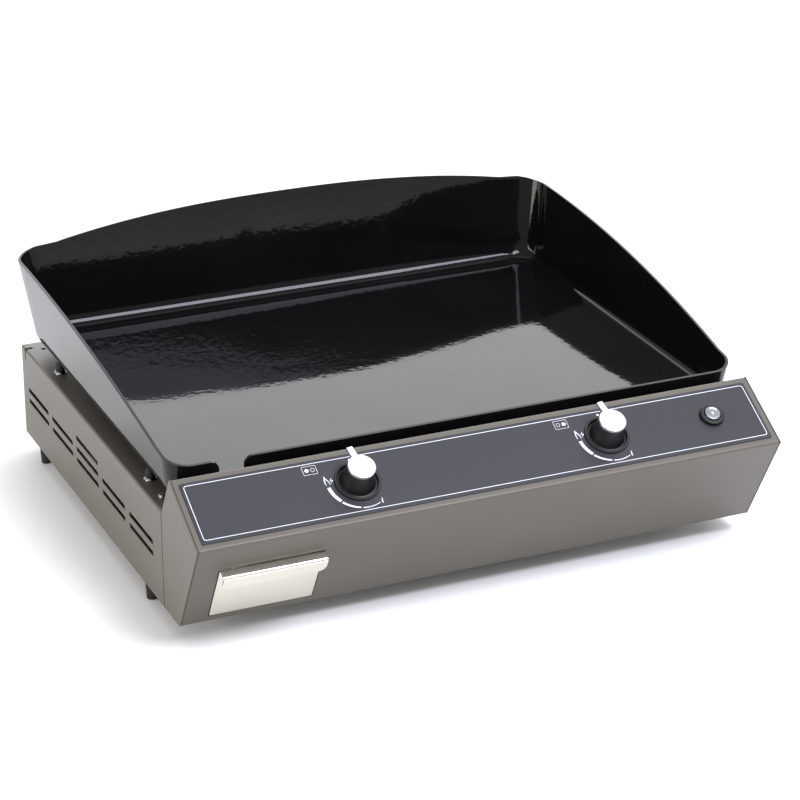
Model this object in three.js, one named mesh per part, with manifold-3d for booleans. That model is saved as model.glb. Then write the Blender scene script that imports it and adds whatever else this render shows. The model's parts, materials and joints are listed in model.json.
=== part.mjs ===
// A two-burner tabletop gas griddle: an enamelled steel plate on a powder-coated casing, with a leaning
// control console at the front. Millimetres, +X to the right, +Y to the back, +Z up. The origin ends up
// under the middle of the whole object, on the surface that its feet stand on.
import * as THREE from 'three';
import { mergeVertices } from 'three/addons/utils/BufferGeometryUtils.js';
import Module from 'manifold-3d';

const wasm = await Module();
wasm.setup();

// ---- Driving dimensions ----
const gap = 0.4; // clearance between pieces that touch
const width = 600; // over the casing's sides
const sheet = 1.5; // powder-coated steel sheet
const casingHeight = 99;
const casingBack = 489; // from the console's lower front edge to the back of the casing
const seamSetback = 25.5; // from the panel's back edge to where the cheeks meet the casing's sides
const flangeWidth = 28; // inward top flange of the casing

const consoleTilt = THREE.MathUtils.degToRad(29.4); // panel above the horizontal
const faceLength = 115.8; // leaning front face
const panelLength = 83.7; // control panel, square to the front face
const rearFlange = 19; // behind the panel, square to it
const bottomFlange = 22;

const plateSheet = 3; // enamelled steel of the plate
const plateLift = 12.6; // underside of the plate above the casing
const plateFlare = THREE.MathUtils.degToRad(8.3); // lean of the plate's walls
const plateSideInset = 9.5; // foot of the side walls inside the casing's sides
const plateFrontSetback = 6.4; // foot of the front wall behind the console's rear flange
const plateRearInset = 9.5; // foot of the back wall inside the casing's back
const frontCorner = 24; // plan radii of the walls
const rearCorner = 26;
const sideCove = 7; // inner radius between the floor and the side and front walls
const backCove = 15; // inner radius between the floor and the back wall
const frontRim = 35.5; // rim heights above the underside
const cornerRim = 87.6;
const crownRim = 115;
const crownPower = 2.4; // how square-shouldered the back's crown is

const outletInset = 66; // grease outlet in the front wall, from the casing's left side
const outletWidth = 25; // at the floor
const outletFlareRadius = 9; // rounded top corners of the outlet
const outletReach = 40; // cut through the front wall
const spoutLap = 3.5; // spout past each side of the outlet
const spoutDrop = 14;
const spoutBend = 5;

const drawerInset = 27.4; // grease drawer in the front face, from the casing's left side
const drawerWidth = 102;
const drawerFoot = 8.8; // up the front face
const drawerRise = 71.2;
const drawerSheet = 1.2;
const trayBack = 104; // from the console's lower front edge back
const trayFloor = 8.5;
const trayHeight = 34;
const trayInset = 3; // tray sides inside the drawer front's
const handleReach = 10; // handle flange out of the face
const handleLip = 15; // folded down from the flange
const handleCorner = 8;
const openingGap = 1; // round the drawer front
const railHeight = 26; // angle rails beside the drawer
const railFoot = 9;
const railLedge = 7;

const knobInset = 171; // knobs from the casing's sides
const knobRise = 2.25; // knobs and igniter above the panel's middle line
const knobSkirtRadius = 19.3;
const knobSkirt = 1.5;
const skirtLedge = 2.9; // the body inside the skirt's edge
const knobTaper = 3.4; // how much narrower the body is at its top
const knobHeight = 21;
const capOverhang = 0.3; // past the body's top
const capThickness = 3.4;
const pointerReach = 24;
const pointerWidth = 6.6;
const pointerRest = THREE.MathUtils.degToRad(10); // the pointers' lean at off
const knobTravel = 3;
const skirtClearance = 0.3; // round the skirt in the bezel's cup
const bezelSide = 0.8; // wall of the cup
const bezelRim = 1.8; // flange past the cup
const bezelLip = 2;
const bezelDepth = 5.4;
const bezelWall = 1; // floor of the cup
const bezelBush = 2; // hole in the cup's floor, round the stem
const stemRadius = 3;
const stemDepth = 7; // stem's end below the knob's top
const stemSocket = 1; // room above the stem in the knob

const valveLength = 30;
const valveRadius = 10;
const valveNeck = 7;
const valveOutlet = 9; // side outlet's reach past the valve's body
const valveOutletRadius = 4.5;
const valveOutletDown = 18; // below the valve's top
const plungerRadius = 2;
const plungerInset = 4; // above the valve's foot
const plungerLength = 6;
const gasRailRadius = 5;
const gasRailGap = 1; // below the valves
const gasRailEnd = 16; // blind end past the left valve's axis

const igniterInset = 57; // igniter from the casing's right side
const igniterWall = 1.7; // round the button's well
const igniterRim = 2.5; // collar past the neck
const igniterHeight = 5;
const igniterDepth = 26; // behind the panel
const nutRim = 5; // corners of the hexagon nuts past their bores
const nutHeight = 5;
const buttonRadius = 7.8;
const buttonProud = 1;
const buttonTravel = 4;

const overlayThickness = 0.6;
const overlayInset = 7.2; // from the panel's edges

const slotColumns = 5; // vent slots in the sides and the back
const slotHeight = 5;
const slotBridge = 12.4; // metal between columns
const slotRows = 12.2;
const slotFirst = 104; // centre of the front column
const slotLast = 55.4; // centre of the last column from the casing's back
const slotLow = 43; // centre of the low row

const footHeight = 21;
const footRadius = 6;
const footTaper = 0.8; // a foot's narrower tread
const footHead = 5;
const footInset = 8.5; // from the casing's sides
const footFront = 104;
const footRear = 43; // from the casing's back
const studOffset = 5; // what the plate rests on, inside the foot of its side walls
const studFront = 114;
const studRear = 92; // from the casing's back
const studRadius = 6.4;
const screwInset = 12;
const screwY = 72;
const screwRadius = 4;
const screwHeight = 3;
const reliefBack = 17; // relief slit in the flange, from the casing's back
const reliefFront = 13;
const reliefReach = 8;
const reliefDepth = 12;
const reliefHoleInset = 18;
const reliefHoleBack = 22;
const reliefHoleRadius = 2.5;

const burnerRise = 7; // bells above the top of the grease tray
const burnerTube = 10.5;
const bellFlare = 2;
const burnerBend = 34; // half the span of a burner's U
const burnerFront = 84;
const burnerRear = 97; // start of the bend from the casing's back
const burnerBell = 6; // bell mouth ahead of the tube
const shieldZ = 20;
const shieldInset = 30; // from the casing's sides
const shieldSetback = 26; // behind the grease tray
const shieldRear = 40; // from the casing's back
const bracketSheet = 1.2;
const bracketOverhang = 34; // past the burners' legs
const bracketFoot = 12;
const bracketLedge = 14;
const bracketSetback = 12; // behind the shield's front and the burners' bends
const shieldSheet = 0.8;
const shieldSkirt = 8;
const feedRadius = 3;
const feedDrop = 20; // feed tubes' bend above the burners' axis
const jetLength = 10; // behind the injector's face
const jetGap = 4; // from the injector's face to the burner's mouth
const probeRadius = 1.4;
const probeStandoff = 8; // beside the burner's tube
const probeRise = 14; // above the burner's axis
const probeAhead = 18; // ahead of the front bracket
const leadRadius = 1.5;
const leadSpread = 4; // between the two ignition leads, either way of their middle
const leadClearance = 12; // above the heat shield

const inletInset = 54; // from the casing's right side
const inletZ = 52;
const inletBore = 7;
const inletDepth = 22; // inside the casing's back
const inletReach = 21; // outside the casing's back
const inletThread = 12;
const inletCollar = 10;
const traySheet = 1.2;
const baseTrayHeight = 12;

// ---- Finishes ----
const finish = (color, roughness, metalness) => (
  new THREE.MeshStandardMaterial({ color, roughness, metalness })
);
const enamel = finish('#141414', 0.12, 0);
const powderCoat = finish('#6d6a63', 0.6, 0.1);
const print = finish('#4a4a50', 0.4, 0);
const satinSteel = finish('#cfcbc2', 0.35, 1);
const blackPlastic = finish('#1c1b1d', 0.45, 0);
const polishedMetal = finish('#e6e6e4', 0.2, 1);
const galvanised = finish('#9a9c9c', 0.45, 1);
const brass = finish('#b5934f', 0.35, 1);
const rubber = finish('#18181a', 0.8, 0);
const ceramic = finish('#e9e4d8', 0.5, 0);

// ---- Solids ----
const V2 = (x, y) => new THREE.Vector2(x, y);
const V3 = (x, y, z) => new THREE.Vector3(x, y, z);

// A closed geometry as a solid for cutting and joining.
function solid(geometry) {
  const bare = geometry.clone();
  bare.deleteAttribute('normal');
  bare.deleteAttribute('uv');
  const merged = mergeVertices(bare, 1e-4);
  return new wasm.Manifold(new wasm.Mesh({
    numProp: 3,
    vertProperties: merged.attributes.position.array,
    triVerts: new Uint32Array(merged.index.array),
  }));
}

// A cut or joined solid as a geometry again.
function geometryOf(manifold) {
  const mesh = manifold.getMesh();
  const geometry = new THREE.BufferGeometry();
  geometry.setAttribute('position', new THREE.BufferAttribute(mesh.vertProperties, 3));
  geometry.setIndex(new THREE.BufferAttribute(mesh.triVerts, 1));
  geometry.computeVertexNormals();
  return geometry;
}

const join = (...pieces) => pieces.map(solid).reduce((a, b) => a.add(b));
const cut = (body, ...tools) => tools.reduce((left, tool) => left.subtract(solid(tool)), solid(body));

function box(x0, x1, y0, y1, z0, z1) {
  const made = new THREE.BoxGeometry(x1 - x0, y1 - y0, z1 - z0);
  return made.translate((x0 + x1) / 2, (y0 + y1) / 2, (z0 + z1) / 2);
}

// A flat outline given a thickness from z0 to z1.
function plate(shape, z0, z1, curveSegments = 6) {
  const geometry = new THREE.ExtrudeGeometry(shape, { depth: z1 - z0, bevelEnabled: false, curveSegments });
  return geometry.translate(0, 0, z0);
}

// A section in the Y-Z plane drawn out along X.
function alongX(shape, x0, x1, curveSegments = 6) {
  const sideways = new THREE.Matrix4().makeBasis(V3(0, 1, 0), V3(0, 0, 1), V3(1, 0, 0));
  return plate(shape, x0, x1, curveSegments).applyMatrix4(sideways);
}

// The section of a folded sheet: the outer line of its bends, and the same line one sheet to its left.
function foldedSheet(line, thickness) {
  const inner = line.map((point, i) => {
    const into = point.clone().sub(line[Math.max(i - 1, 0)]);
    const away = line[Math.min(i + 1, line.length - 1)].clone().sub(point);
    const before = (i ? into : away).clone().normalize();
    const after = (i < line.length - 1 ? away : into).clone().normalize();
    const square = V2(-before.y - after.y, before.x + after.x);
    return point.clone().addScaledVector(square, thickness / (1 + before.dot(after)));
  });
  return new THREE.Shape([...line, ...inner.reverse()]);
}

function roundedRectangle(x0, x1, y0, y1, r) {
  const shape = new THREE.Shape();
  shape.moveTo(x0 + r, y0);
  shape.lineTo(x1 - r, y0);
  shape.absarc(x1 - r, y0 + r, r, -Math.PI / 2, 0);
  shape.lineTo(x1, y1 - r);
  shape.absarc(x1 - r, y1 - r, r, 0, Math.PI / 2);
  shape.lineTo(x0 + r, y1);
  shape.absarc(x0 + r, y1 - r, r, Math.PI / 2, Math.PI);
  shape.lineTo(x0, y0 + r);
  shape.absarc(x0 + r, y0 + r, r, Math.PI, Math.PI * 1.5);
  return shape;
}

// A round hole whose straight sides all keep clear of a radius.
function hole(x, y, clear, sides = 16) {
  const r = clear / Math.cos(Math.PI / sides);
  const points = Array.from({ length: sides }, (_, i) => {
    const a = (i / sides) * Math.PI * 2;
    return V2(x + r * Math.cos(a), y + r * Math.sin(a));
  });
  return new THREE.Path(points);
}

function hexagon(radius) {
  return new THREE.Shape(Array.from({ length: 6 }, (_, i) => {
    const a = (i * Math.PI) / 3;
    return V2(radius * Math.cos(a), radius * Math.sin(a));
  }));
}

// A turned piece about local Z, from [radius, height] points that close on themselves or on the axis.
function turned(points, segments = 24) {
  return new THREE.LatheGeometry(points.map(([r, z]) => V2(r, z)), segments).rotateX(Math.PI / 2);
}

function rod(radius, z0, z1, segments = 16) {
  return turned([[0, z0], [radius, z0], [radius, z1], [0, z1]], segments);
}

// A round tube or cable along straight runs with eased corners. Easing takes at most this share of a run.
const easeShare = 0.45;

function tube(points, radius, ease, steps, sides = 8) {
  const path = new THREE.CurvePath();
  let from = points[0];
  points.slice(1, -1).forEach((corner, i) => {
    const back = points[i].clone().sub(corner);
    const on = points[i + 2].clone().sub(corner);
    const eased = (run) => {
      const reach = Math.min(ease, run.length() * easeShare);
      return corner.clone().addScaledVector(run.clone().normalize(), reach);
    };
    const start = eased(back);
    const end = eased(on);
    path.add(new THREE.LineCurve3(from, start));
    path.add(new THREE.QuadraticBezierCurve3(start, corner, end));
    from = end;
  });
  path.add(new THREE.LineCurve3(from, points[points.length - 1]));
  const ring = Array.from({ length: sides }, (_, i) => {
    const a = (i / sides) * Math.PI * 2;
    return V2(radius * Math.cos(a), radius * Math.sin(a));
  });
  return new THREE.ExtrudeGeometry(new THREE.Shape(ring), { extrudePath: path, steps, bevelEnabled: false });
}

// A closed skin through equal rings of points, with a flat cap on the first and the last.
function skin(rings) {
  const count = rings[0].length;
  const flat = rings.flat();
  const index = [];
  for (let r = 0; r < rings.length - 1; r += 1) {
    for (let i = 0; i < count; i += 1) {
      const a = r * count + i;
      const b = r * count + ((i + 1) % count);
      index.push(a, b, a + count, b, b + count, a + count);
    }
  }
  [[0, true], [rings.length - 1, false]].forEach(([r, first]) => {
    const middle = rings[r].reduce((sum, p) => sum.add(p), V3(0, 0, 0)).divideScalar(count);
    flat.push(middle);
    for (let i = 0; i < count; i += 1) {
      const a = r * count + i;
      const b = r * count + ((i + 1) % count);
      index.push(...(first ? [b, a, flat.length - 1] : [a, b, flat.length - 1]));
    }
  });
  const geometry = new THREE.BufferGeometry().setFromPoints(flat);
  geometry.setIndex(index);
  return geometry;
}

// ---- Frames: the whole, the panel (local Y up the panel, Z out of it) and the front face ----
const griddle = new THREE.Group();
const faceFoot = V3(0, 0, 0);
const upFace = V3(0, -Math.sin(consoleTilt), Math.cos(consoleTilt));
const upPanel = V3(0, Math.cos(consoleTilt), Math.sin(consoleTilt));
const foldEdge = faceFoot.clone().addScaledVector(upFace, faceLength);
const panelTop = foldEdge.clone().addScaledVector(upPanel, panelLength);
const flangeFoot = panelTop.clone().addScaledVector(upFace, -rearFlange);

const panel = new THREE.Group();
panel.position.copy(foldEdge);
panel.rotation.x = consoleTilt;
griddle.add(panel);
const face = new THREE.Group();
face.position.copy(faceFoot);
face.rotation.x = consoleTilt + Math.PI / 2;
griddle.add(face);
[panel, face].forEach((frame) => frame.updateMatrix());

// ---- Sizes that follow from the driving ones ----
const halfWidth = width / 2;
const seamY = panelTop.y + seamSetback;
const casingFront = seamY + gap;
const consoleHalf = halfWidth - sheet - gap;
const plateHalfWidth = halfWidth - plateSideInset;
const plateFront = flangeFoot.y + plateFrontSetback;
const plateRear = casingBack - plateRearInset;
const plateBottom = casingHeight + plateLift;
const floorTop = plateBottom + plateSheet;
const plateLength = plateRear - plateFront;
const outletX = outletInset - halfWidth;
const drawerLeft = drawerInset - halfWidth;
const drawerRight = drawerLeft + drawerWidth;
const knobX = halfWidth - knobInset;
const igniterX = halfWidth - igniterInset;
const inletX = halfWidth - inletInset;
const spoutWidth = outletWidth + spoutLap * 2;
const slotPitch = (casingBack - slotLast - slotFirst) / (slotColumns - 1);
const slotLength = slotPitch - slotBridge;
const knobUp = panelLength / 2 + knobRise;
const trayTop = trayFloor + trayHeight;
const burnerZ = trayTop + burnerRise + burnerTube + bellFlare;
const burnerX = halfWidth / 2;
const burnerEnd = casingBack - burnerRear;
const burnerMouthY = burnerFront - burnerBell;
const shieldFront = trayBack + shieldSetback;
const bracketFront = shieldFront + bracketSetback;
const cupInner = knobSkirtRadius + skirtClearance;
const cupRadius = cupInner + bezelSide;
const bezelRadius = cupRadius + bezelRim;
const knobBaseRadius = knobSkirtRadius - skirtLedge;
const knobTopRadius = knobBaseRadius - knobTaper;
const capRadius = knobTopRadius + capOverhang;
const igniterNeck = buttonRadius + gap + igniterWall;
const igniterRadius = igniterNeck + igniterRim;
const overlayTop = gap + overlayThickness;

const onPanel = (x, up, out) => V3(x, up, out).applyMatrix4(panel.matrix);

function add(name, made, material, where = griddle) {
  const geometry = made.isBufferGeometry ? made : geometryOf(made);
  const mesh = new THREE.Mesh(geometry, material);
  mesh.name = name;
  where.add(mesh);
  return mesh;
}

// ---- Griddle plate ----
// Stations round the foot of the walls: a point, the way out from it, and the way the flare carries it.
function plateStations() {
  const stations = [];
  const straight = (a, b, out, count) => {
    for (let i = 1; i < count; i += 1) stations.push({ at: a.clone().lerp(b, i / count), out, flare: out });
  };
  const corner = (sideX, sideY, radius, from) => {
    const y = sideY > 0 ? plateRear - radius : plateFront + radius;
    const centre = V2(sideX * (plateHalfWidth - radius), y);
    for (let i = 0; i <= 6; i += 1) {
      const a = from + (i / 6) * (Math.PI / 2);
      const out = V2(Math.cos(a), Math.sin(a));
      stations.push({ at: centre.clone().addScaledVector(out, radius), out, flare: V2(sideX, sideY) });
    }
  };
  const [w, front, rear] = [plateHalfWidth, frontCorner, rearCorner];
  straight(V2(-w + front, plateFront), V2(w - front, plateFront), V2(0, -1), 6);
  corner(1, -1, front, -Math.PI / 2);
  straight(V2(w, plateFront + front), V2(w, plateRear - rear), V2(1, 0), 14);
  corner(1, 1, rear, 0);
  straight(V2(w - rear, plateRear), V2(-w + rear, plateRear), V2(0, 1), 18);
  corner(-1, 1, rear, Math.PI / 2);
  straight(V2(-w, plateRear - rear), V2(-w, plateFront + front), V2(-1, 0), 14);
  corner(-1, -1, front, Math.PI);
  return stations;
}

// The rim falls in one arc from the rear corners to the front, and the back rises to a crown.
function rimHeight({ at }) {
  const drop = cornerRim - frontRim;
  const radius = (plateLength ** 2 + drop ** 2) / (2 * drop);
  const fall = radius - Math.sqrt(radius ** 2 - (plateRear - at.y) ** 2);
  const behind = at.y > (plateFront + plateRear) / 2;
  const crown = behind ? (crownRim - cornerRim) * (1 - Math.abs(at.x / plateHalfWidth) ** crownPower) : 0;
  return plateBottom + cornerRim - fall + crown;
}

function plateWall() {
  const stations = plateStations();
  const wallSheet = plateSheet / Math.cos(plateFlare);
  const rimRound = plateSheet * 0.35;
  const turn = Math.PI / 2 - plateFlare;
  const flared = (z) => (z - plateBottom) * Math.tan(plateFlare);
  // A point of the wall at a height, carried out by the flare and off it by a distance.
  const point = (station, off, z) => {
    const p = station.at.clone().addScaledVector(station.flare, flared(z)).addScaledVector(station.out, off);
    return V3(p.x, p.y, z);
  };
  const cove = (station, inner, step) => {
    const near = THREE.MathUtils.smoothstep(station.at.y, plateRear - rearCorner, plateRear);
    const radius = sideCove + (backCove - sideCove) * near + (inner ? 0 : plateSheet);
    const foot = inner ? floorTop : plateBottom;
    const z = foot + radius * (1 - Math.cos(turn * step));
    const end = flared(foot + radius * (1 - Math.cos(turn))) - (inner ? wallSheet : 0);
    const out = end - radius * (Math.sin(turn) - Math.sin(turn * step));
    return point(station, out - flared(z), z);
  };
  const rings = [0, 0.33, 0.67, 1].map((step) => stations.map((s) => cove(s, false, step)));
  const corners = [[0, rimRound], [-rimRound, 0], [rimRound - wallSheet, 0], [-wallSheet, rimRound]];
  corners.forEach(([off, down]) => {
    rings.push(stations.map((s) => point(s, off, rimHeight(s) - down)));
  });
  [1, 0.67, 0.33, 0].forEach((step) => rings.push(stations.map((s) => cove(s, true, step))));
  return skin(rings);
}

// The outlet is cut through the front wall down to the floor, with rounded top corners.
function outletTool() {
  const half = outletWidth / 2;
  const top = plateBottom + frontRim;
  const shape = new THREE.Shape();
  shape.moveTo(-half, floorTop);
  shape.lineTo(half, floorTop);
  const flareAt = top - outletFlareRadius;
  shape.lineTo(half, flareAt);
  shape.absarc(half + outletFlareRadius, flareAt, outletFlareRadius, Math.PI, Math.PI / 2, true);
  shape.lineTo(half + outletFlareRadius, top + plateSheet);
  shape.lineTo(-half - outletFlareRadius, top + plateSheet);
  shape.lineTo(-half - outletFlareRadius, top);
  shape.absarc(-half - outletFlareRadius, flareAt, outletFlareRadius, Math.PI / 2, 0, true);
  const made = plate(shape, 0, outletReach).rotateX(Math.PI / 2);
  return made.translate(outletX, plateFront + outletReach / 2, 0);
}

// The spout carries the floor through the outlet and turns down behind the console.
function spout() {
  const front = plateFront - plateSheet;
  const start = plateFront + sideCove + plateSheet;
  const shape = new THREE.Shape();
  shape.moveTo(start, floorTop);
  shape.lineTo(front + spoutBend, floorTop);
  shape.absarc(front + spoutBend, floorTop - spoutBend, spoutBend, Math.PI / 2, Math.PI);
  shape.lineTo(front, floorTop - spoutDrop);
  shape.lineTo(front + plateSheet, floorTop - spoutDrop);
  shape.lineTo(front + plateSheet, floorTop - spoutBend);
  shape.absarc(front + spoutBend, floorTop - spoutBend, spoutBend - plateSheet, Math.PI, Math.PI / 2, true);
  shape.lineTo(start, plateBottom);
  return alongX(shape, outletX - spoutWidth / 2, outletX + spoutWidth / 2);
}

const plateMade = cut(plateWall(), outletTool()).add(solid(spout()));
add('griddle_plate', plateMade, enamel);

// ---- Casing ----
// One vent slot's tool, through a side wall at x = 0, centred on y and z.
function slotTool(y, z) {
  const r = slotHeight / 2;
  const half = slotLength / 2;
  return alongX(roundedRectangle(y - half, y + half, z - r, z + r, r * 0.98), -sheet * 2, sheet * 2, 3);
}

function sideSlots() {
  const tools = [];
  for (let column = 0; column < slotColumns; column += 1) {
    const rows = column === (slotColumns - 1) / 2 ? 3 : 2;
    for (let row = 0; row < rows; row += 1) {
      tools.push(slotTool(slotFirst + column * slotPitch, slotLow + row * slotRows));
    }
  }
  return tools;
}

function casingShell() {
  const plan = new THREE.Shape([
    V2(-halfWidth, casingFront), V2(-halfWidth, casingBack),
    V2(halfWidth, casingBack), V2(halfWidth, casingFront),
    V2(halfWidth - sheet, casingFront), V2(halfWidth - sheet, casingBack - sheet),
    V2(-halfWidth + sheet, casingBack - sheet), V2(-halfWidth + sheet, casingFront),
  ].reverse());
  const inner = halfWidth - flangeWidth;
  const rim = new THREE.Shape([
    V2(-halfWidth, casingFront), V2(-inner, casingFront), V2(-inner, casingBack - flangeWidth),
    V2(inner, casingBack - flangeWidth), V2(inner, casingFront), V2(halfWidth, casingFront),
    V2(halfWidth, casingBack), V2(-halfWidth, casingBack),
  ]);
  [-1, 1].forEach((side) => {
    const x = side * (halfWidth - reliefHoleInset);
    rim.holes.push(hole(x, casingBack - reliefHoleBack, reliefHoleRadius, 8));
  });
  let made = join(plate(plan, 0, casingHeight), plate(rim, casingHeight - sheet, casingHeight, 4));
  [-1, 1].forEach((side) => {
    sideSlots().forEach((tool) => {
      made = made.subtract(solid(tool.translate(side * (halfWidth - sheet / 2), 0, 0)));
    });
    // Relief where the side's flange meets the back's, and the supply pipe's hole in the back.
    const near = side * halfWidth;
    const [back, front] = [casingBack - reliefFront, casingBack - reliefBack];
    const [x0, x1] = [near, near - side * (reliefReach + 1)].sort((a, b) => a - b);
    made = made.subtract(solid(box(x0 - 1, x1 + 1, front, back, casingHeight - sheet * 2, casingHeight + 1)));
    const drop = box(
      near - sheet * 1.2, near + sheet * 1.2, front + 0.5, back - 1, casingHeight - reliefDepth, casingHeight,
    );
    made = made.subtract(solid(drop));
  });
  for (let column = -2; column <= 2; column += 1) {
    [slotLow, slotLow + slotRows].forEach((z) => {
      const tool = slotTool(0, z).rotateZ(Math.PI / 2);
      made = made.subtract(solid(tool.translate(column * slotPitch, casingBack - sheet / 2, 0)));
    });
  }
  return made.subtract(solid(inletHole()));
}

function inletHole() {
  const tool = rod(inletBore + gap, -sheet * 3, sheet * 3);
  return tool.rotateX(Math.PI / 2).translate(inletX, casingBack, inletZ);
}

add('casing_shell', casingShell(), powderCoat);

function baseTray() {
  const [front, back, wall] = [bottomFlange + gap * 2, casingBack - sheet - gap, traySheet];
  const top = baseTrayHeight + 1;
  const [left, right] = [drawerLeft - railFoot - 3, drawerRight + railFoot + 3];
  return cut(box(-consoleHalf, consoleHalf, front, back, 0, baseTrayHeight),
    box(-consoleHalf + wall, consoleHalf - wall, front + wall, back - wall, wall, top),
    box(left, right, front - 1, front + wall + 1, wall, top));
}

add('base_tray', baseTray(), galvanised);

[['front', footFront], ['rear', casingBack - footRear]].forEach(([row, y]) => {
  [['left', -1], ['right', 1]].forEach(([hand, side]) => {
    const foot = turned([
      [0, -footHeight], [footRadius - footTaper - 1, -footHeight], [footRadius - footTaper, -footHeight + 1],
      [footRadius, -footHead], [footRadius, -gap], [0, -gap],
    ], 20);
    add(`foot_${row}_${hand}`, foot, rubber).position.set(side * (halfWidth - footInset), y, 0);
  });
});

[['front', studFront], ['rear', casingBack - studRear]].forEach(([row, y]) => {
  [['left', -1], ['right', 1]].forEach(([hand, side]) => {
    const top = plateLift - gap;
    const stud = turned([
      [0, gap], [studRadius, gap], [studRadius, 2], [studRadius - 0.8, 3.2], [studRadius - 1, top - 4],
      [studRadius - 2, top - 1.4], [studRadius - 4, top], [0, top],
    ], 16);
    const mesh = add(`plate_stud_${row}_${hand}`, stud, polishedMetal);
    mesh.position.set(side * (halfWidth - plateSideInset - studOffset), y, casingHeight);
  });
});

[['left', -1], ['right', 1]].forEach(([hand, side]) => {
  const screw = turned([
    [0, gap], [screwRadius, gap], [screwRadius * 0.95, screwHeight * 0.53],
    [screwRadius * 0.65, screwHeight * 0.87], [0, screwHeight],
  ], 14);
  const mesh = add(`casing_screw_${hand}`, screw, polishedMetal);
  mesh.position.set(side * (halfWidth - screwInset), screwY, casingHeight);
});

// ---- Console ----
function consoleShell() {
  const line = [V2(bottomFlange, 0), V2(0, 0), V2(foldEdge.y, foldEdge.z), V2(panelTop.y, panelTop.z),
    V2(flangeFoot.y, flangeFoot.z)];
  const section = foldedSheet(line.map((p) => V2(p.x, p.y)).reverse(), sheet);
  const reach = sheet * 3;
  let made = solid(alongX(section, -consoleHalf, consoleHalf));
  const through = (tool, frame) => solid(tool.applyMatrix4(frame.matrix));
  [-knobX, knobX].forEach((x) => {
    made = made.subtract(through(rod(cupRadius + gap, -reach, reach, 32).translate(x, knobUp, 0), panel));
  });
  const igniterTool = rod(igniterNeck + gap, -reach, reach, 24).translate(igniterX, knobUp, 0);
  made = made.subtract(through(igniterTool, panel));
  const opening = box(drawerLeft - openingGap, drawerRight + openingGap,
    drawerFoot - openingGap, drawerFoot + drawerRise + openingGap, -reach, reach);
  return made.subtract(through(opening, face));
}

add('console_shell', consoleShell(), powderCoat);

const cheekTop = panelTop.z - (seamY - panelTop.y) / Math.tan(consoleTilt);
[['left', -1], ['right', 1]].forEach(([hand, side]) => {
  const outline = new THREE.Shape([V2(0, 0), V2(seamY, 0), V2(seamY, cheekTop), V2(panelTop.y, panelTop.z),
    V2(foldEdge.y, foldEdge.z)]);
  const outer = side * halfWidth;
  const inner = outer - side * sheet;
  add(`console_cheek_${hand}`, alongX(outline, Math.min(outer, inner), Math.max(outer, inner)), powderCoat);
});

// Local frames on the panel for what is fitted to it: x, 0 at the panel's surface, Z out.
function onPanelAt(x) {
  const spot = new THREE.Group();
  spot.position.set(x, knobUp, 0);
  panel.add(spot);
  return spot;
}

function overlay() {
  const shape = roundedRectangle(-halfWidth + overlayInset, halfWidth - overlayInset, overlayInset,
    panelLength - overlayInset, 1.5);
  [-knobX, knobX].forEach((x) => shape.holes.push(hole(x, knobUp, cupRadius + gap, 24)));
  shape.holes.push(hole(igniterX, knobUp, igniterNeck + gap, 24));
  return plate(shape, gap, gap + overlayThickness, 8);
}

add('fascia_overlay', overlay(), print, panel);

// ---- Knobs, stems and valves ----
const valveTop = -bezelDepth - sheet;
const valveFoot = valveTop - valveLength;
const plungerTop = valveFoot + plungerInset + plungerLength;

function bezel() {
  const low = overlayTop + gap;
  const bush = stemRadius + bezelBush;
  return turned([
    [bush, -bezelDepth], [cupRadius, -bezelDepth], [cupRadius, low], [bezelRadius, low],
    [bezelRadius, low + bezelLip * 0.5], [bezelRadius - 0.6, low + bezelLip * 0.8],
    [cupInner, low + bezelLip * 0.8], [cupInner, -bezelDepth + bezelWall], [bush, -bezelDepth + bezelWall],
    [bush, -bezelDepth],
  ], 36);
}

const skirtFoot = -bezelDepth + bezelWall + knobTravel + gap * 2;
const skirtTop = skirtFoot + knobSkirt;
const capFoot = knobHeight;

function knobBody() {
  const body = turned([
    [0, skirtFoot], [knobSkirtRadius, skirtFoot], [knobSkirtRadius, skirtTop],
    [knobBaseRadius + 0.8, skirtTop + 0.7], [knobBaseRadius, skirtTop + 2],
    [knobTopRadius, capFoot - gap], [0, capFoot - gap],
  ], 32);
  return cut(body, rod(stemRadius + gap, skirtFoot - 1, capFoot - stemDepth + stemSocket));
}

function knobCap() {
  const disc = turned([
    [0, 0], [capRadius - 0.3, 0], [capRadius, 0.4], [capRadius, capThickness - 0.7],
    [capRadius - 0.7, capThickness], [0, capThickness],
  ], 32);
  const half = pointerWidth / 2;
  const bar = new THREE.Shape();
  bar.moveTo(-half, 0);
  bar.lineTo(half, 0);
  bar.lineTo(half * 0.92, pointerReach - half * 0.92);
  bar.absarc(0, pointerReach - half * 0.92, half * 0.92, 0, Math.PI);
  return join(disc, plate(bar, 0.3, capThickness - 0.2, 5));
}

function valveBody() {
  const bore = stemRadius + gap;
  const barrel = turned([
    [bore, valveTop], [valveNeck, valveTop], [valveNeck, valveTop - 4], [valveRadius, valveTop - 6],
    [valveRadius, valveFoot + 4], [valveNeck, valveFoot], [bore, valveFoot], [bore, valveTop],
  ].reverse(), 20);
  const outlet = rod(valveOutletRadius, 0, valveRadius + valveOutlet, 12).rotateX(-Math.PI / 2);
  const side = outlet.translate(0, 0, valveTop - valveOutletDown);
  return join(barrel, side).subtract(solid(rod(bore, valveFoot - 1, valveTop + 1, 20)));
}

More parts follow.
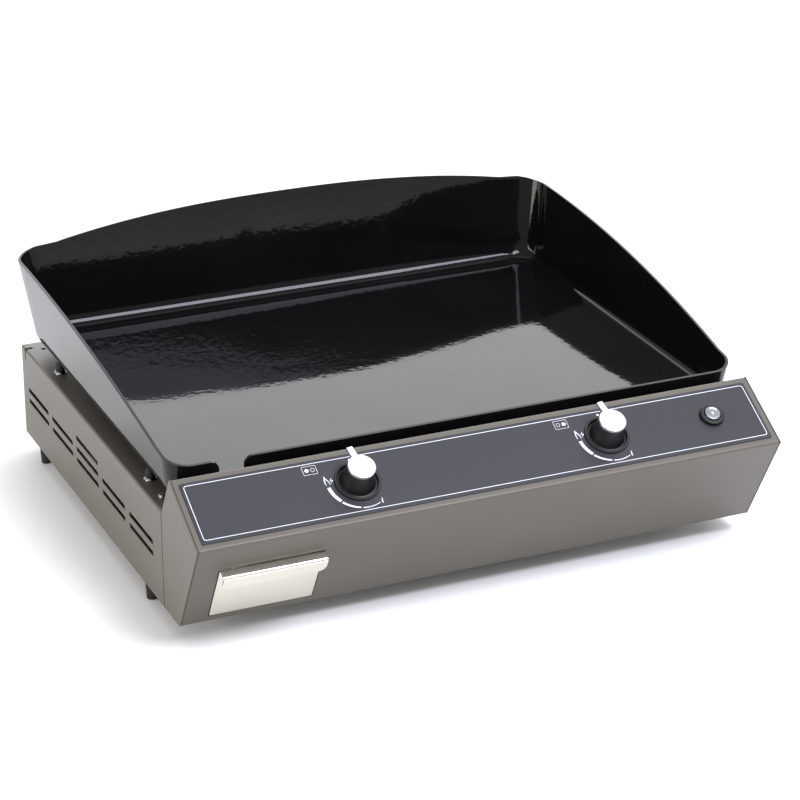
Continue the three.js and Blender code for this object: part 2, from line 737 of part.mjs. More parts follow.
[['left', -knobX], ['right', knobX]].forEach(([hand, x]) => {
  const spot = onPanelAt(x);
  add(`knob_bezel_${hand}`, bezel(), blackPlastic, spot);
  add(`knob_body_${hand}`, knobBody(), blackPlastic, spot);
  const cap = add(`knob_cap_${hand}`, knobCap(), polishedMetal, spot);
  cap.position.z = capFoot;
  cap.rotation.z = pointerRest;
  add(`valve_stem_${hand}`, rod(stemRadius, plungerTop + gap, capFoot - stemDepth, 14), galvanised, spot);
  add(`gas_valve_${hand}`, valveBody(), brass, spot);
  const plunger = rod(plungerRadius, plungerTop - plungerLength, plungerTop, 10);
  add(`valve_plunger_${hand}`, plunger, galvanised, spot);
});

// ---- Spark igniter ----
function igniterBody() {
  const low = overlayTop + gap;
  const well = buttonRadius + gap;
  return turned([
    [0, -igniterDepth], [igniterNeck, -igniterDepth], [igniterNeck, low], [igniterRadius, low],
    [igniterRadius, igniterHeight - 1.2], [igniterRadius - 0.8, igniterHeight - 0.2],
    [igniterRadius - 2, igniterHeight], [well + 0.8, igniterHeight], [well, igniterHeight - 0.8],
    [well, -buttonTravel - 1], [0, -buttonTravel - 1],
  ], 32);
}

const igniterSpot = onPanelAt(igniterX);
add('igniter_body', igniterBody(), blackPlastic, igniterSpot);
const buttonTop = igniterHeight + buttonProud;
add('igniter_button', turned([
  [0, -0.6], [buttonRadius, -0.6], [buttonRadius, buttonTop - 1.2], [buttonRadius - 0.8, buttonTop - 0.3],
  [buttonRadius * 0.6, buttonTop], [0, buttonTop],
], 28), polishedMetal, igniterSpot);

function igniterNut() {
  const shape = hexagon(igniterNeck + nutRim);
  shape.holes.push(hole(0, 0, igniterNeck + gap));
  return plate(shape, -sheet - gap - nutHeight, -sheet - gap);
}

add('igniter_nut', igniterNut(), galvanised, igniterSpot);

// ---- Grease drawer: slides straight out along -Y ----
function drawerFront() {
  const r = handleCorner;
  const flangeTop = drawerFoot + drawerRise;
  const front = box(drawerLeft, drawerRight, drawerFoot, flangeTop, -drawerSheet, 0);
  const flange = box(drawerLeft, drawerRight, flangeTop - drawerSheet, flangeTop, -drawerSheet, handleReach);
  const lip = new THREE.Shape();
  lip.moveTo(drawerLeft, flangeTop);
  lip.lineTo(drawerLeft, flangeTop - handleLip + r);
  lip.absarc(drawerLeft + r, flangeTop - handleLip + r, r, Math.PI, Math.PI * 1.5);
  lip.lineTo(drawerRight - r, flangeTop - handleLip);
  lip.absarc(drawerRight - r, flangeTop - handleLip + r, r, Math.PI * 1.5, Math.PI * 2);
  lip.lineTo(drawerRight, flangeTop);
  return join(front, flange, plate(lip, handleReach - drawerSheet, handleReach, 6));
}

add('drawer_front', drawerFront(), satinSteel, face);

// The tray's front wall leans with the face, one gap behind the drawer front.
const faceY = (z) => -z * Math.tan(consoleTilt);

function greaseTray() {
  const [x0, x1] = [drawerLeft + trayInset, drawerRight - trayInset];
  const back = (drawerSheet + gap) / Math.cos(consoleTilt);
  const side = new THREE.Shape([
    V2(faceY(trayFloor) + back, trayFloor), V2(trayBack, trayFloor), V2(trayBack, trayTop),
    V2(faceY(trayTop) + back, trayTop),
  ]);
  const wall = drawerSheet;
  const leaning = wall / Math.cos(consoleTilt);
  const inner = new THREE.Shape([
    V2(faceY(trayFloor + wall) + back + leaning, trayFloor + wall), V2(trayBack - wall, trayFloor + wall),
    V2(trayBack - wall, trayTop + 1), V2(faceY(trayTop + 1) + back + leaning, trayTop + 1),
  ]);
  return cut(alongX(side, x0, x1), alongX(inner, x0 + wall, x1 - wall));
}

add('grease_drawer', greaseTray(), satinSteel);

// Angle rails on the base tray, one each side of the drawer.
[['left', drawerLeft, -1], ['right', drawerRight, 1]].forEach(([hand, edge, side]) => {
  const foot = traySheet + gap;
  const bar = (a, b, z0, z1) => {
    const [near, far] = [edge + side * a, edge + side * b];
    return box(Math.min(near, far), Math.max(near, far), bottomFlange + 4, trayBack + 8, z0, z1);
  };
  const upright = bar(0.5, 0.5 + traySheet, foot, foot + railHeight);
  const flat = bar(0.5, railFoot, foot, foot + traySheet);
  const ledge = bar(1, 0.5 - railLedge, foot + 3, trayFloor - gap);
  add(`drawer_rail_${hand}`, join(upright, flat, ledge), galvanised);
});

// ---- Burners and what holds and feeds them ----
const bracketTop = burnerZ - burnerTube - gap;

function uBurner() {
  const path = new THREE.CurvePath();
  path.add(new THREE.LineCurve3(V3(-burnerBend, burnerFront, 0), V3(-burnerBend, burnerEnd, 0)));
  const arc = 6;
  let from = V3(-burnerBend, burnerEnd, 0);
  for (let i = 1; i <= arc; i += 1) {
    const a = Math.PI - (i / arc) * Math.PI;
    const to = V3(burnerBend * Math.cos(a), burnerEnd + burnerBend * Math.sin(a), 0);
    path.add(new THREE.LineCurve3(from, to));
    from = to;
  }
  path.add(new THREE.LineCurve3(from, V3(burnerBend, burnerFront + 36, 0)));
  const ring = Array.from({ length: 12 }, (_, i) => {
    const a = (i / 12) * Math.PI * 2;
    return V2(burnerTube * Math.cos(a), burnerTube * Math.sin(a));
  });
  const section = new THREE.Shape(ring);
  const pipe = new THREE.ExtrudeGeometry(section, { extrudePath: path, steps: 32, bevelEnabled: false });
  const bell = turned([
    [0, 0], [burnerTube * 0.5, 0], [burnerTube + bellFlare, 0], [burnerTube + bellFlare, 4],
    [burnerTube - 1, 14], [0, 14],
  ], 16).rotateX(-Math.PI / 2).translate(-burnerBend, burnerMouthY, 0);
  const mouth = rod(burnerTube - 2, -1, 12, 16).rotateX(-Math.PI / 2).translate(-burnerBend, burnerMouthY, 0);
  return join(pipe, bell).subtract(solid(mouth));
}

[['left', -burnerX], ['right', burnerX]].forEach(([hand, x]) => {
  add(`burner_${hand}`, uBurner(), satinSteel).position.set(x, 0, burnerZ);
});

function heatShield() {
  const edge = halfWidth - shieldInset;
  const skirt = shieldZ - shieldSkirt;
  const line = [V2(edge, skirt), V2(edge, shieldZ), V2(-edge, shieldZ), V2(-edge, skirt)];
  const back = casingBack - shieldRear;
  const made = plate(foldedSheet(line, shieldSheet), 0, back - shieldFront);
  return made.rotateX(Math.PI / 2).translate(0, back, 0);
}

add('heat_shield', heatShield(), galvanised);

[['front', bracketFront], ['rear', burnerEnd + bracketSetback]].forEach(([row, y]) => {
  const foot = shieldZ + gap;
  const top = bracketTop - bracketSheet;
  const line = [V2(y - bracketFoot, foot), V2(y, foot), V2(y, top), V2(y + bracketLedge, top)];
  const section = foldedSheet(line, bracketSheet);
  const reach = burnerX + burnerBend + burnerTube + bracketOverhang;
  add(`burner_bracket_${row}`, alongX(section, -reach, reach), galvanised);
});

// Gas rail under the valves, and its supply pipe to the inlet at the back.
const railAt = onPanel(0, knobUp, valveFoot - gasRailGap - gasRailRadius);
const supplyEnd = casingBack - inletDepth;

add('gas_manifold', tube([
  V3(-knobX - gasRailEnd, railAt.y, railAt.z), V3(inletX, railAt.y, railAt.z),
  V3(inletX, supplyEnd - 60, railAt.z), V3(inletX, supplyEnd - 30, inletZ), V3(inletX, supplyEnd, inletZ),
], gasRailRadius, 14, 44), brass);

function gasInlet() {
  const [nose, root] = [gasRailRadius + 1, 2 - inletDepth];
  const [seat, collar] = [-sheet - gap, -sheet - gap - 7];
  const [spigot, end, bore] = [inletBore - 1.4, inletReach, inletBore / 2];
  return turned([
    [0, root], [nose, root], [nose, collar], [inletCollar, collar], [inletCollar, seat], [inletBore, seat],
    [inletBore, inletThread], [spigot, inletThread + 1], [spigot, end - 1], [spigot - 1, end], [bore, end],
    [bore, inletThread / 2], [0, inletThread / 2],
  ], 20);
}

const inlet = add('gas_inlet', gasInlet(), brass);
inlet.position.set(inletX, casingBack, inletZ);
inlet.rotation.x = -Math.PI / 2;

function inletNut() {
  const shape = hexagon(inletBore + nutRim);
  shape.holes.push(hole(0, 0, inletBore + gap));
  return plate(shape, gap, gap + nutHeight);
}

const nut = add('inlet_nut', inletNut(), brass);
nut.position.set(inletX, casingBack, inletZ);
nut.rotation.x = -Math.PI / 2;

[['left', -1], ['right', 1]].forEach(([hand, side]) => {
  const valveX = side * knobX;
  const jetX = side * burnerX - burnerBend;
  const jetY = burnerMouthY - jetGap;
  const jet = turned([
    [0, -jetLength], [5, -jetLength], [5, 0], [3, 0], [3, 8], [1.6, 9], [0, 9],
  ], 12).rotateX(-Math.PI / 2);
  add(`injector_${hand}`, jet, brass).position.set(jetX, jetY, burnerZ);
  const outlet = onPanel(valveX, knobUp + valveRadius + valveOutlet + gap, valveTop - valveOutletDown);
  // The feed tube turns straight down inside the console, ahead of the plate, and then back to the jet.
  const top = outlet.clone().addScaledVector(upPanel, 8);
  const feed = [outlet, top, V3(valveX, top.y, burnerZ + feedDrop), V3(jetX, jetY - jetLength - 12, burnerZ),
    V3(jetX, jetY - jetLength - gap, burnerZ)];
  add(`feed_tube_${hand}`, tube(feed, feedRadius, 8, 24), brass);
  // Sensing and sparking sit beside the burner's blind leg.
  const legX = side * burnerX + burnerBend;
  const probeX = legX + burnerTube + probeStandoff;
  const probeZ = burnerZ + probeRise;
  const sparkX = legX - burnerTube - probeStandoff;
  const tailY = bracketFront - probeAhead;
  const sensor = onPanel(valveX + valveRadius + gap + probeRadius, knobUp, valveFoot + 6);
  const overRail = V3(sensor.x + 14, railAt.y + gasRailRadius + 10, sensor.z);
  add(`thermocouple_${hand}`, tube([
    sensor, sensor.clone().add(V3(14, 0, 0)), overRail,
    V3(probeX, overRail.y + 20, probeZ), V3(probeX, tailY, probeZ),
  ], probeRadius, 6, 28, 6), brass);
  const spark = add(`spark_electrode_${hand}`, turned([
    [0, -16], [1.2, -16], [1.2, -6], [3.2, -6], [3.2, 12], [1.2, 13], [1.2, 17], [0, 17],
  ], 10), ceramic);
  spark.position.set(sparkX, tailY, burnerZ + 2);
  // The leads leave the igniter's foot side by side, go down the console and back one under the other.
  // The one that goes further keeps outside and under the other.
  const leadX = igniterX - side * leadSpread;
  const leadY = bottomFlange + 24 - side * leadSpread;
  const leadZ = shieldZ + leadClearance + side * leadSpread;
  const leave = onPanel(leadX, knobUp, -igniterDepth - 8);
  add(`ignition_lead_${hand}`, tube([
    onPanel(leadX, knobUp, -igniterDepth - gap), leave, leave.clone().add(V3(0, -11, -14)),
    leave.clone().add(V3(0, -11, -36)), V3(leadX, leadY, leadZ), V3(sparkX, leadY, leadZ),
    V3(sparkX, tailY, leadZ), V3(sparkX, tailY, burnerZ - 14 - gap),
  ], leadRadius, 8, 44, 6), blackPlastic);
});

// ---- The whole object's own frame ----
griddle.updateMatrixWorld(true);
const extent = new THREE.Box3().setFromObject(griddle, true);
const middle = extent.getCenter(V3(0, 0, 0));
griddle.position.set(-middle.x, -middle.y, -extent.min.z);

export default griddle;
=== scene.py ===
import json
import math

import bmesh
import bpy
from mathutils import Matrix, Vector


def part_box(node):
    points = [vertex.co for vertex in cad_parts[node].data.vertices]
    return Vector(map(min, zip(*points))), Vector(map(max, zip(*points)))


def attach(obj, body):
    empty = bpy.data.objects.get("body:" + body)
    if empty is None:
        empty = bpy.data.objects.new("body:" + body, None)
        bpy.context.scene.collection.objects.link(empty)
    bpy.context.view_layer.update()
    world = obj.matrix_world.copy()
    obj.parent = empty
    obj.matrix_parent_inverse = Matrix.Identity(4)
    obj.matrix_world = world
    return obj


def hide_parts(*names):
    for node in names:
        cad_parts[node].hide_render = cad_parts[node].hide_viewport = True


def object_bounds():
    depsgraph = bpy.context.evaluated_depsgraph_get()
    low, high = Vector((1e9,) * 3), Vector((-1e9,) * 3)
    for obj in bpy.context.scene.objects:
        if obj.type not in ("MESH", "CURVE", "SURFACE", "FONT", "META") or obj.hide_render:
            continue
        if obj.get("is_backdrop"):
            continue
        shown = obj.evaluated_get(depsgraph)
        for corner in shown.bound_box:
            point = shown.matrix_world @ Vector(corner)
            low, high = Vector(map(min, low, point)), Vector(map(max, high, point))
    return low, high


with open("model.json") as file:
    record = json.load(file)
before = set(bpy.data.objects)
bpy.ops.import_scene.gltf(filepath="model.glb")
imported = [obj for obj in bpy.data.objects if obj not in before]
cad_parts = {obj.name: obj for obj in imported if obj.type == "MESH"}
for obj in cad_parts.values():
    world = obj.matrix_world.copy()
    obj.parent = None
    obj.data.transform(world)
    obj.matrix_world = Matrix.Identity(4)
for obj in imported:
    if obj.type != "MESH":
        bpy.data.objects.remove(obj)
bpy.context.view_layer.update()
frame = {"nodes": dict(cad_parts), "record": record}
scene = bpy.context.scene
MM = 0.001

# ---- Camera ----
# A long lens from the front left, looking down on the plate.
AZIMUTH = math.radians(23.44)
DOWN = math.radians(23.30)
ROLL = math.radians(-0.19)
SENSOR = 36.0
FIELD = math.radians(15.86)

look = Vector((math.sin(AZIMUTH) * math.cos(DOWN), math.cos(AZIMUTH) * math.cos(DOWN), -math.sin(DOWN)))
camera = bpy.data.objects.new("camera", bpy.data.cameras.new("camera"))
camera.data.sensor_width = SENSOR
camera.data.lens = SENSOR / 2 / math.tan(FIELD / 2)
camera.location = (-1.04747, -2.46338, 1.25965)
camera.rotation_mode = "QUATERNION"
camera.rotation_quaternion = look.to_track_quat("-Z", "Y") @ Matrix.Rotation(ROLL, 4, "Z").to_quaternion()
scene.collection.objects.link(camera)
scene.camera = camera
scene.view_settings.view_transform = "Standard"

# ---- Floor and light ----
# A pale studio floor in a light tent, bright behind to the right and dimmer elsewhere. One softbox above the
# front draws the long highlights along the plate's folds, and a low one fills the left side.
FLOOR_HALF = 12.0
TENT_LEVEL = 0.7
TENT_PANEL = 2.5
LIT_POINT = (0, 0, 0.1)
OVERHEAD_PLACE = (0.7, -1.4, 2.3)
OVERHEAD_SIZE = (1.5, 1.1)
OVERHEAD_POWER = 95
LEFT_PLACE = (-3.0, -0.6, 0.6)
LEFT_SIZE = (1.6, 1.2)
LEFT_POWER = 58


def linear(code, alpha=1.0):
    """An sRGB hex colour as a linear one."""
    parts = [int(code[i:i + 2], 16) / 255 for i in (1, 3, 5)]
    return [c / 12.92 if c <= 0.04045 else ((c + 0.055) / 1.055) ** 2.4 for c in parts] + [alpha]


def add_node(tree, kind, links=None, **settings):
    """A node with its settings, and its inputs set from values or joined to sockets."""
    node = tree.nodes.new(kind)
    for name, value in settings.items():
        setattr(node, name, value)
    for name, value in (links or {}).items():
        if isinstance(value, bpy.types.NodeSocket):
            tree.links.new(value, node.inputs[name])
        else:
            node.inputs[name].default_value = value
    return node


def new_finish(name, **surface):
    """A material with one Principled shader, its uniform values set on the shader itself."""
    finish = bpy.data.materials.new(name)
    finish.use_nodes = True
    finish.node_tree.nodes.clear()
    shader = add_node(finish.node_tree, "ShaderNodeBsdfPrincipled", surface)
    add_node(finish.node_tree, "ShaderNodeOutputMaterial", {"Surface": shader.outputs[0]})
    return finish, finish.node_tree, shader


floor_mesh = bpy.data.meshes.new("studio_floor")
floor_mesh.from_pydata(
    [(x * FLOOR_HALF, y * FLOOR_HALF, 0) for x, y in ((-1, -1), (1, -1), (1, 1), (-1, 1))],
    [], [(0, 1, 2, 3)])
floor = bpy.data.objects.new("studio_floor", floor_mesh)
scene.collection.objects.link(floor)
floor_paint = new_finish(
    "matt_studio_paint", **{"Base Color": linear("#f3f3f2"), "Roughness": 0.9, "Specular IOR Level": 0.1})[0]
floor_mesh.materials.append(floor_paint)
floor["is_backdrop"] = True

tent = bpy.data.worlds.new("light_tent")
scene.world = tent
tent.use_nodes = True
sky = tent.node_tree
sky.nodes.clear()
toward = add_node(sky, "ShaderNodeSeparateXYZ", {0: add_node(sky, "ShaderNodeTexCoord").outputs["Generated"]})
behind = add_node(sky, "ShaderNodeMapRange", {
    "Value": toward.outputs["Y"], "From Min": -0.1, "From Max": 0.5}, interpolation_type="SMOOTHSTEP")
rightward = add_node(sky, "ShaderNodeMapRange", {
    "Value": toward.outputs["X"], "From Min": -0.3, "From Max": 0.15, "To Max": TENT_PANEL},
    interpolation_type="SMOOTHSTEP")
glow = add_node(sky, "ShaderNodeMath", {0: behind.outputs[0], 1: rightward.outputs[0], 2: TENT_LEVEL},
                operation="MULTIPLY_ADD")
tent_light = add_node(sky, "ShaderNodeBackground", {"Color": linear("#fbfcff"), "Strength": glow.outputs[0]})
add_node(sky, "ShaderNodeOutputWorld", {"Surface": tent_light.outputs[0]})


def soft_light(name, place, size, power, colour):
    """A rectangular softbox aimed at the middle of the object."""
    light = bpy.data.objects.new(name, bpy.data.lights.new(name, "AREA"))
    light.data.shape = "RECTANGLE"
    light.data.size, light.data.size_y = size
    light.data.energy = power
    light.data.color = linear(colour)[:3]
    light.location = place
    light.rotation_mode = "QUATERNION"
    light.rotation_quaternion = (Vector(LIT_POINT) - Vector(place)).to_track_quat("-Z", "Y")
    scene.collection.objects.link(light)


soft_light("overhead_softbox", OVERHEAD_PLACE, OVERHEAD_SIZE, OVERHEAD_POWER, "#edf0fd")
soft_light("left_softbox", LEFT_PLACE, LEFT_SIZE, LEFT_POWER, "#fff8ee")

# ---- Casing ----
# The body is folded from 1.5 mm sheet steel and powder coated: sides and back in one band, with a flange
# turned in along the top, vent slots punched through, and a relief slit where the flanges meet at each
# back corner.
SHEET = 1.5 * MM
FOLD = 2.2 * MM  # outside radius of the folds
CASING_FLANGE = 28 * MM
SEAM = 0.8 * MM  # extra shadow gap between the band and the console's cheeks
SLOT_HIGH = 5 * MM
SLOT_LOW_ROW = 43 * MM
SLOT_ROW_GAP = 12.2 * MM
SLOT_BRIDGE = 12.4 * MM
SLOT_COLUMNS = 5
FIRST_SLOT = 62 * MM  # centre of the front column behind the casing's front edge
LAST_SLOT = 55.4 * MM  # centre of the last column before the back
FLANGE_HOLE = 2.5 * MM  # radius of the round hole in the flange near each back corner
FLANGE_HOLE_IN = 18 * MM
FLANGE_HOLE_BACK = 22 * MM
RELIEF_IN = 8 * MM  # how far the relief slit runs in from the side
RELIEF_TOP = (17 * MM, 13 * MM)  # the slit's two edges before the back, on the flange
RELIEF_SIDE = (16.5 * MM, 14 * MM)  # the same on the side wall
RELIEF_DROP = (12 * MM, 2 * MM)  # its lower and upper end under the top
ACROSS = Matrix(((0, 0, 1, 0), (1, 0, 0, 0), (0, 1, 0, 0), (0, 0, 0, 1)))  # outlines in y, z, pushed along x
INLET_PLACE = (246 * MM, 52 * MM)
INLET_HOLE = 7.4 * MM

casing_low, casing_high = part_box("casing_shell")


def powder_coat():
    """Sheet steel, electrostatically sprayed with polyester powder and baked: a satin taupe grey with a fine
    pebbled skin, the pebbles a shade drawn coarse enough to show."""
    finish, tree, shader = new_finish("powder_coated_sheet_steel", **{"Roughness": 0.42, "IOR": 1.5})
    where = add_node(tree, "ShaderNodeTexCoord").outputs["Object"]
    pebble = add_node(tree, "ShaderNodeTexNoise", {"Vector": where, "Scale": 1 / (0.9 * MM), "Detail": 2.0})
    cloud = add_node(tree, "ShaderNodeTexNoise", {"Vector": where, "Scale": 1 / (70 * MM), "Detail": 2.0})
    mottled = add_node(tree, "ShaderNodeValToRGB", {"Fac": cloud.outputs["Fac"]})
    mottled.color_ramp.elements[0].color = linear("#4c4840")
    mottled.color_ramp.elements[1].color = linear("#534e45")
    relief = add_node(tree, "ShaderNodeBump", {"Height": pebble.outputs["Fac"], "Distance": 0.02 * MM,
                                               "Strength": 0.6})
    tree.links.new(mottled.outputs[0], shader.inputs["Base Color"])
    tree.links.new(relief.outputs[0], shader.inputs["Normal"])
    return finish


coated_steel = powder_coat()


def grid_mesh(name, columns, skip=(), closed=False):
    """A sheet of four-sided faces over columns of points; skip lists the columns after which it is slit."""
    rows = len(columns[0])
    joins = range(len(columns) if closed else len(columns) - 1)
    faces = []
    for c in (c for c in joins if c not in skip):
        a, b = c * rows, ((c + 1) % len(columns)) * rows
        faces += [(a + r, b + r, b + r + 1, a + r + 1) for r in range(rows - 1)]
    made = bpy.data.meshes.new(name)
    made.from_pydata([p for column in columns for p in column], [], faces)
    return made


def merge_close(made, reach=0.02 * MM):
    work = bmesh.new()
    work.from_mesh(made)
    bmesh.ops.remove_doubles(work, verts=work.verts, dist=reach)
    bmesh.ops.dissolve_degenerate(work, edges=work.edges, dist=reach)
    work.to_mesh(made)
    work.free()
    return made


def outward(made):
    work = bmesh.new()
    work.from_mesh(made)
    bmesh.ops.recalc_face_normals(work, faces=work.faces)
    work.to_mesh(made)
    work.free()
    return made


def put(name, made, finish, body, nodes):
    """A piece in its finish, smooth, riding on its CAD body and standing for its CAD nodes."""
    piece = bpy.data.objects.new(name, made)
    scene.collection.objects.link(piece)
    made.materials.append(finish)
    made.polygons.foreach_set("use_smooth", [True] * len(made.polygons))
    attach(piece, body)
    if nodes:
        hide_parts(*nodes)
    return piece


def thicken(piece, thickness):
    """Gives a surface its sheet's thickness, behind its face."""
    made = piece.modifiers.new("sheet", "SOLIDIFY")
    made.thickness = thickness
    made.offset = -1
    made.use_even_offset = True


def soften(piece, width, segments=3, angle=40):
    """Rounds the cut edges of a piece."""
    made = piece.modifiers.new("edges", "BEVEL")
    made.width = width
    made.segments = segments
    made.limit_method = "ANGLE"
    made.angle_limit = math.radians(angle)
    made.harden_normals = True
    made.use_clamp_overlap = True


def punch(piece, tool_mesh):
    """Cuts a closed tool out of a piece and keeps the result as the piece's own mesh."""
    tool = bpy.data.objects.new("tool", tool_mesh)
    scene.collection.objects.link(tool)
    cutting = piece.modifiers.new("punch", "BOOLEAN")
    cutting.operation = "DIFFERENCE"
    cutting.solver = "EXACT"
    cutting.object = tool
    view = bpy.context.evaluated_depsgraph_get()
    result = bpy.data.meshes.new_from_object(piece.evaluated_get(view))
    old = piece.data
    piece.modifiers.clear()
    piece.data = result
    result.name = old.name
    bpy.data.meshes.remove(old)
    bpy.data.objects.remove(tool)
    bpy.data.meshes.remove(tool_mesh)


def prisms(name, outlines, where, low, high):
    """Closed prisms on outlines of (x, y) points, standing from low to high in a frame given by a matrix."""
    verts, faces = [], []
    for outline in outlines:
        n, start = len(outline), len(verts)
        verts += [where @ Vector((x, y, low)) for x, y in outline]
        verts += [where @ Vector((x, y, high)) for x, y in outline]
        faces.append(tuple(start + i for i in reversed(range(n))))
        faces.append(tuple(start + n + i for i in range(n)))
        faces += [(start + i, start + (i + 1) % n, start + n + (i + 1) % n, start + n + i) for i in range(n)]
    made = bpy.data.meshes.new(name)
    made.from_pydata(verts, [], faces)
    return outward(made)


def round_box(x0, x1, y0, y1, radius, steps=8):
    """The outline of a rectangle with round corners."""
    points = []
    for cx, cy, start in ((x1 - radius, y0 + radius, -90), (x1 - radius, y1 - radius, 0),
                          (x0 + radius, y1 - radius, 90), (x0 + radius, y0 + radius, 180)):
        for i in range(steps + 1):
            a = math.radians(start + 90 * i / steps)
            points.append((cx + radius * math.cos(a), cy + radius * math.sin(a)))
    return points


def circle(x, y, radius, steps=64):
    return [(x + radius * math.cos(2 * math.pi * i / steps), y + radius * math.sin(2 * math.pi * i / steps))
            for i in range(steps)]


def band_profile():
    """(in from the outside, up) along the side: up the wall, round the fold and in along the flange."""
    high = casing_high.z - casing_low.z
    points = [(0, 0), (0, high * 0.5), (0, high - FOLD)]
    points += [(FOLD * (1 - math.cos(math.radians(a))), high - FOLD * (1 - math.sin(math.radians(a))))
               for a in (15, 30, 45, 60, 75, 90)]
    return points + [(CASING_FLANGE * 0.5, high), (CASING_FLANGE, high)]


def casing_band():
    """Columns of the band from the left front edge, round both back corners, to the right front edge."""
    half, front, back = casing_high.x, casing_low.y + SEAM, casing_high.y
    columns = []

    def column(x, y, sx, sy, inner=None):
        points = []
        for off, up in band_profile():
            if inner is None:
                points.append((x - sx * off, y - sy * off, casing_low.z + up))
            else:
                cx, cy, mx, my = inner
                past = max(off - FOLD, 0)
                near = min(off, FOLD)
                points.append((cx + sx * (FOLD - near) - mx * past, cy + sy * (FOLD - near) - my * past,
                               casing_low.z + up))
        columns.append(points)

    column(-half, front, -1, 0)
    for side, start in ((-1, 180), (1, 90)):
        for i in range(7):
            a = math.radians(start - 15 * i)
            column(0, 0, math.cos(a), math.sin(a), (side * (half - FOLD), back - FOLD, side, 1))
    column(half, front, 1, 0)
    return columns


def slot_tools():
    """Punches for the vent slots of both sides and the back, the relief slits, and the round holes."""
    half, front, back = casing_high.x, casing_low.y, casing_high.y
    pitch = (back - front - FIRST_SLOT - LAST_SLOT) / (SLOT_COLUMNS - 1)
    long = (pitch - SLOT_BRIDGE) / 2
    r = SLOT_HIGH / 2
    sides, rear = [], []
    for c in range(SLOT_COLUMNS):
        rows = 3 if c == 2 else 2
        for row in range(rows):
            y = front + FIRST_SLOT + c * pitch
            z = casing_low.z + SLOT_LOW_ROW + row * SLOT_ROW_GAP
            sides.append(round_box(y - long, y + long, z - r, z + r, r * 0.98))
            x = (c - 2) * pitch
            if row < 2:
                rear.append(round_box(x - long, x + long, z - r, z + r, r * 0.98))
    along = Matrix(((1, 0, 0, 0), (0, 0, 1, 0), (0, 1, 0, 0), (0, 0, 0, 1)))
    reach = 6 * MM
    parts = [prisms("cut", sides, ACROSS, side * half - reach, side * half + reach) for side in (-1, 1)]
    inlet = circle(INLET_PLACE[0], casing_low.z + INLET_PLACE[1], INLET_HOLE, 40)
    parts.append(prisms("cut", rear + [inlet], along, back - reach, back + reach))
    top = casing_high.z
    flange = []
    for side in (-1, 1):
        flange.append(circle(side * (half - FLANGE_HOLE_IN), back - FLANGE_HOLE_BACK, FLANGE_HOLE, 24))
        low, high = sorted((side * (half + MM), side * (half - RELIEF_IN)))
        far, near = (back - d for d in RELIEF_TOP)
        flange.append([(low, far), (high, far), (high, near), (low, near)])
    parts.append(prisms("cut", flange, Matrix.Identity(4), top - 3 * MM, top + MM))
    far, near = (back - d for d in RELIEF_SIDE)
    foot, head = (top - d for d in RELIEF_DROP)
    drop = [[(far, foot), (near, foot), (near, head), (far, head)]]
    parts += [prisms("cut", drop, ACROSS, side * half - reach / 2, side * half + reach / 2)
              for side in (-1, 1)]
    return parts


casing = put("casing_band", outward(merge_close(grid_mesh("casing_band", casing_band()))), coated_steel,
             "casing", ["casing_shell"])
thicken(casing, SHEET)
for tool in slot_tools():
    punch(casing, tool)
soften(casing, 0.3 * MM, 2)

# ---- Console ----
# One sheet with three folds: a bottom flange, a leaning front face, the control panel square to it, and a
# rear flange. It is closed at each end by a flat cheek, and both are powder coated like the casing.
TILT = math.radians(29.4)
FACE_LONG = 115.8 * MM
PANEL_LONG = 83.7 * MM
REAR_FLANGE = 19 * MM
BOTTOM_FLANGE = 22 * MM
KNOB_UP = 44.1 * MM
KNOB_X = (-129 * MM, 129 * MM)
IGNITER_X = 243 * MM
BEZEL_HOLE = 20.8 * MM
IGNITER_HOLE = 10.3 * MM
DRAWER_LOW = 8.8 * MM
DRAWER_TALL = 71.2 * MM
DRAWER_SLACK = 1 * MM
PUNCH_REACH = 5 * MM

console_low, console_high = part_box("console_shell")
face_foot = Vector((0, console_low.y + FACE_LONG * math.sin(TILT), console_low.z))
panel_foot = face_foot + FACE_LONG * Vector((0, -math.sin(TILT), math.cos(TILT)))
drawer_low, drawer_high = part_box("drawer_front")

# Local frames: X to the right, Y up the panel or the face, Z out of it.
on_panel = Matrix.Translation(panel_foot) @ Matrix.Rotation(TILT, 4, "X")
on_face = Matrix.Translation(face_foot) @ Matrix.Rotation(TILT + math.pi / 2, 4, "X")


def folded(corners, radius, steps=6):
    """A line through (y, z) corners with each inner corner rounded."""
    points = [Vector(corners[0])]
    for before, corner, after in zip(corners, corners[1:], corners[2:]):
        corner = Vector(corner)
        back = (Vector(before) - corner).normalized()
        on = (Vector(after) - corner).normalized()
        half = back.angle(on) / 2
        start, end = corner + back * radius / math.tan(half), corner + on * radius / math.tan(half)
        centre = corner + (back + on).normalized() * radius / math.sin(half)
        sweep = math.pi - 2 * half
        turn = 1 if (start - centre).x * (end - centre).y > (start - centre).y * (end - centre).x else -1
        arm = start - centre
        for i in range(steps + 1):
            a = turn * sweep * i / steps
            points.append(centre + Vector((arm.x * math.cos(a) - arm.y * math.sin(a),
                                           arm.x * math.sin(a) + arm.y * math.cos(a))))
    return points + [Vector(corners[-1])]


def held(line, reach=0.4 * MM):
    """A line with a point close to each end of its straights, so that smooth shading leaves them flat."""
    points = [Vector(line[0])]
    for a, b in zip(line, line[1:]):
        run = Vector(b) - Vector(a)
        if run.length > 5 * reach:
            step = run.normalized() * reach
            points += [Vector(a) + step, Vector(b) - step]
        points.append(Vector(b))
    return points


def console_points():
    """The face's foot, the fold under the panel, the panel's top, and the face's direction, in y, z."""
    face = Vector((-math.sin(TILT), math.cos(TILT)))
    panel = Vector((math.cos(TILT), math.sin(TILT)))
    foot = Vector((face_foot.y, face_foot.z))
    fold = foot + face * FACE_LONG
    return foot, fold, fold + panel * PANEL_LONG, face


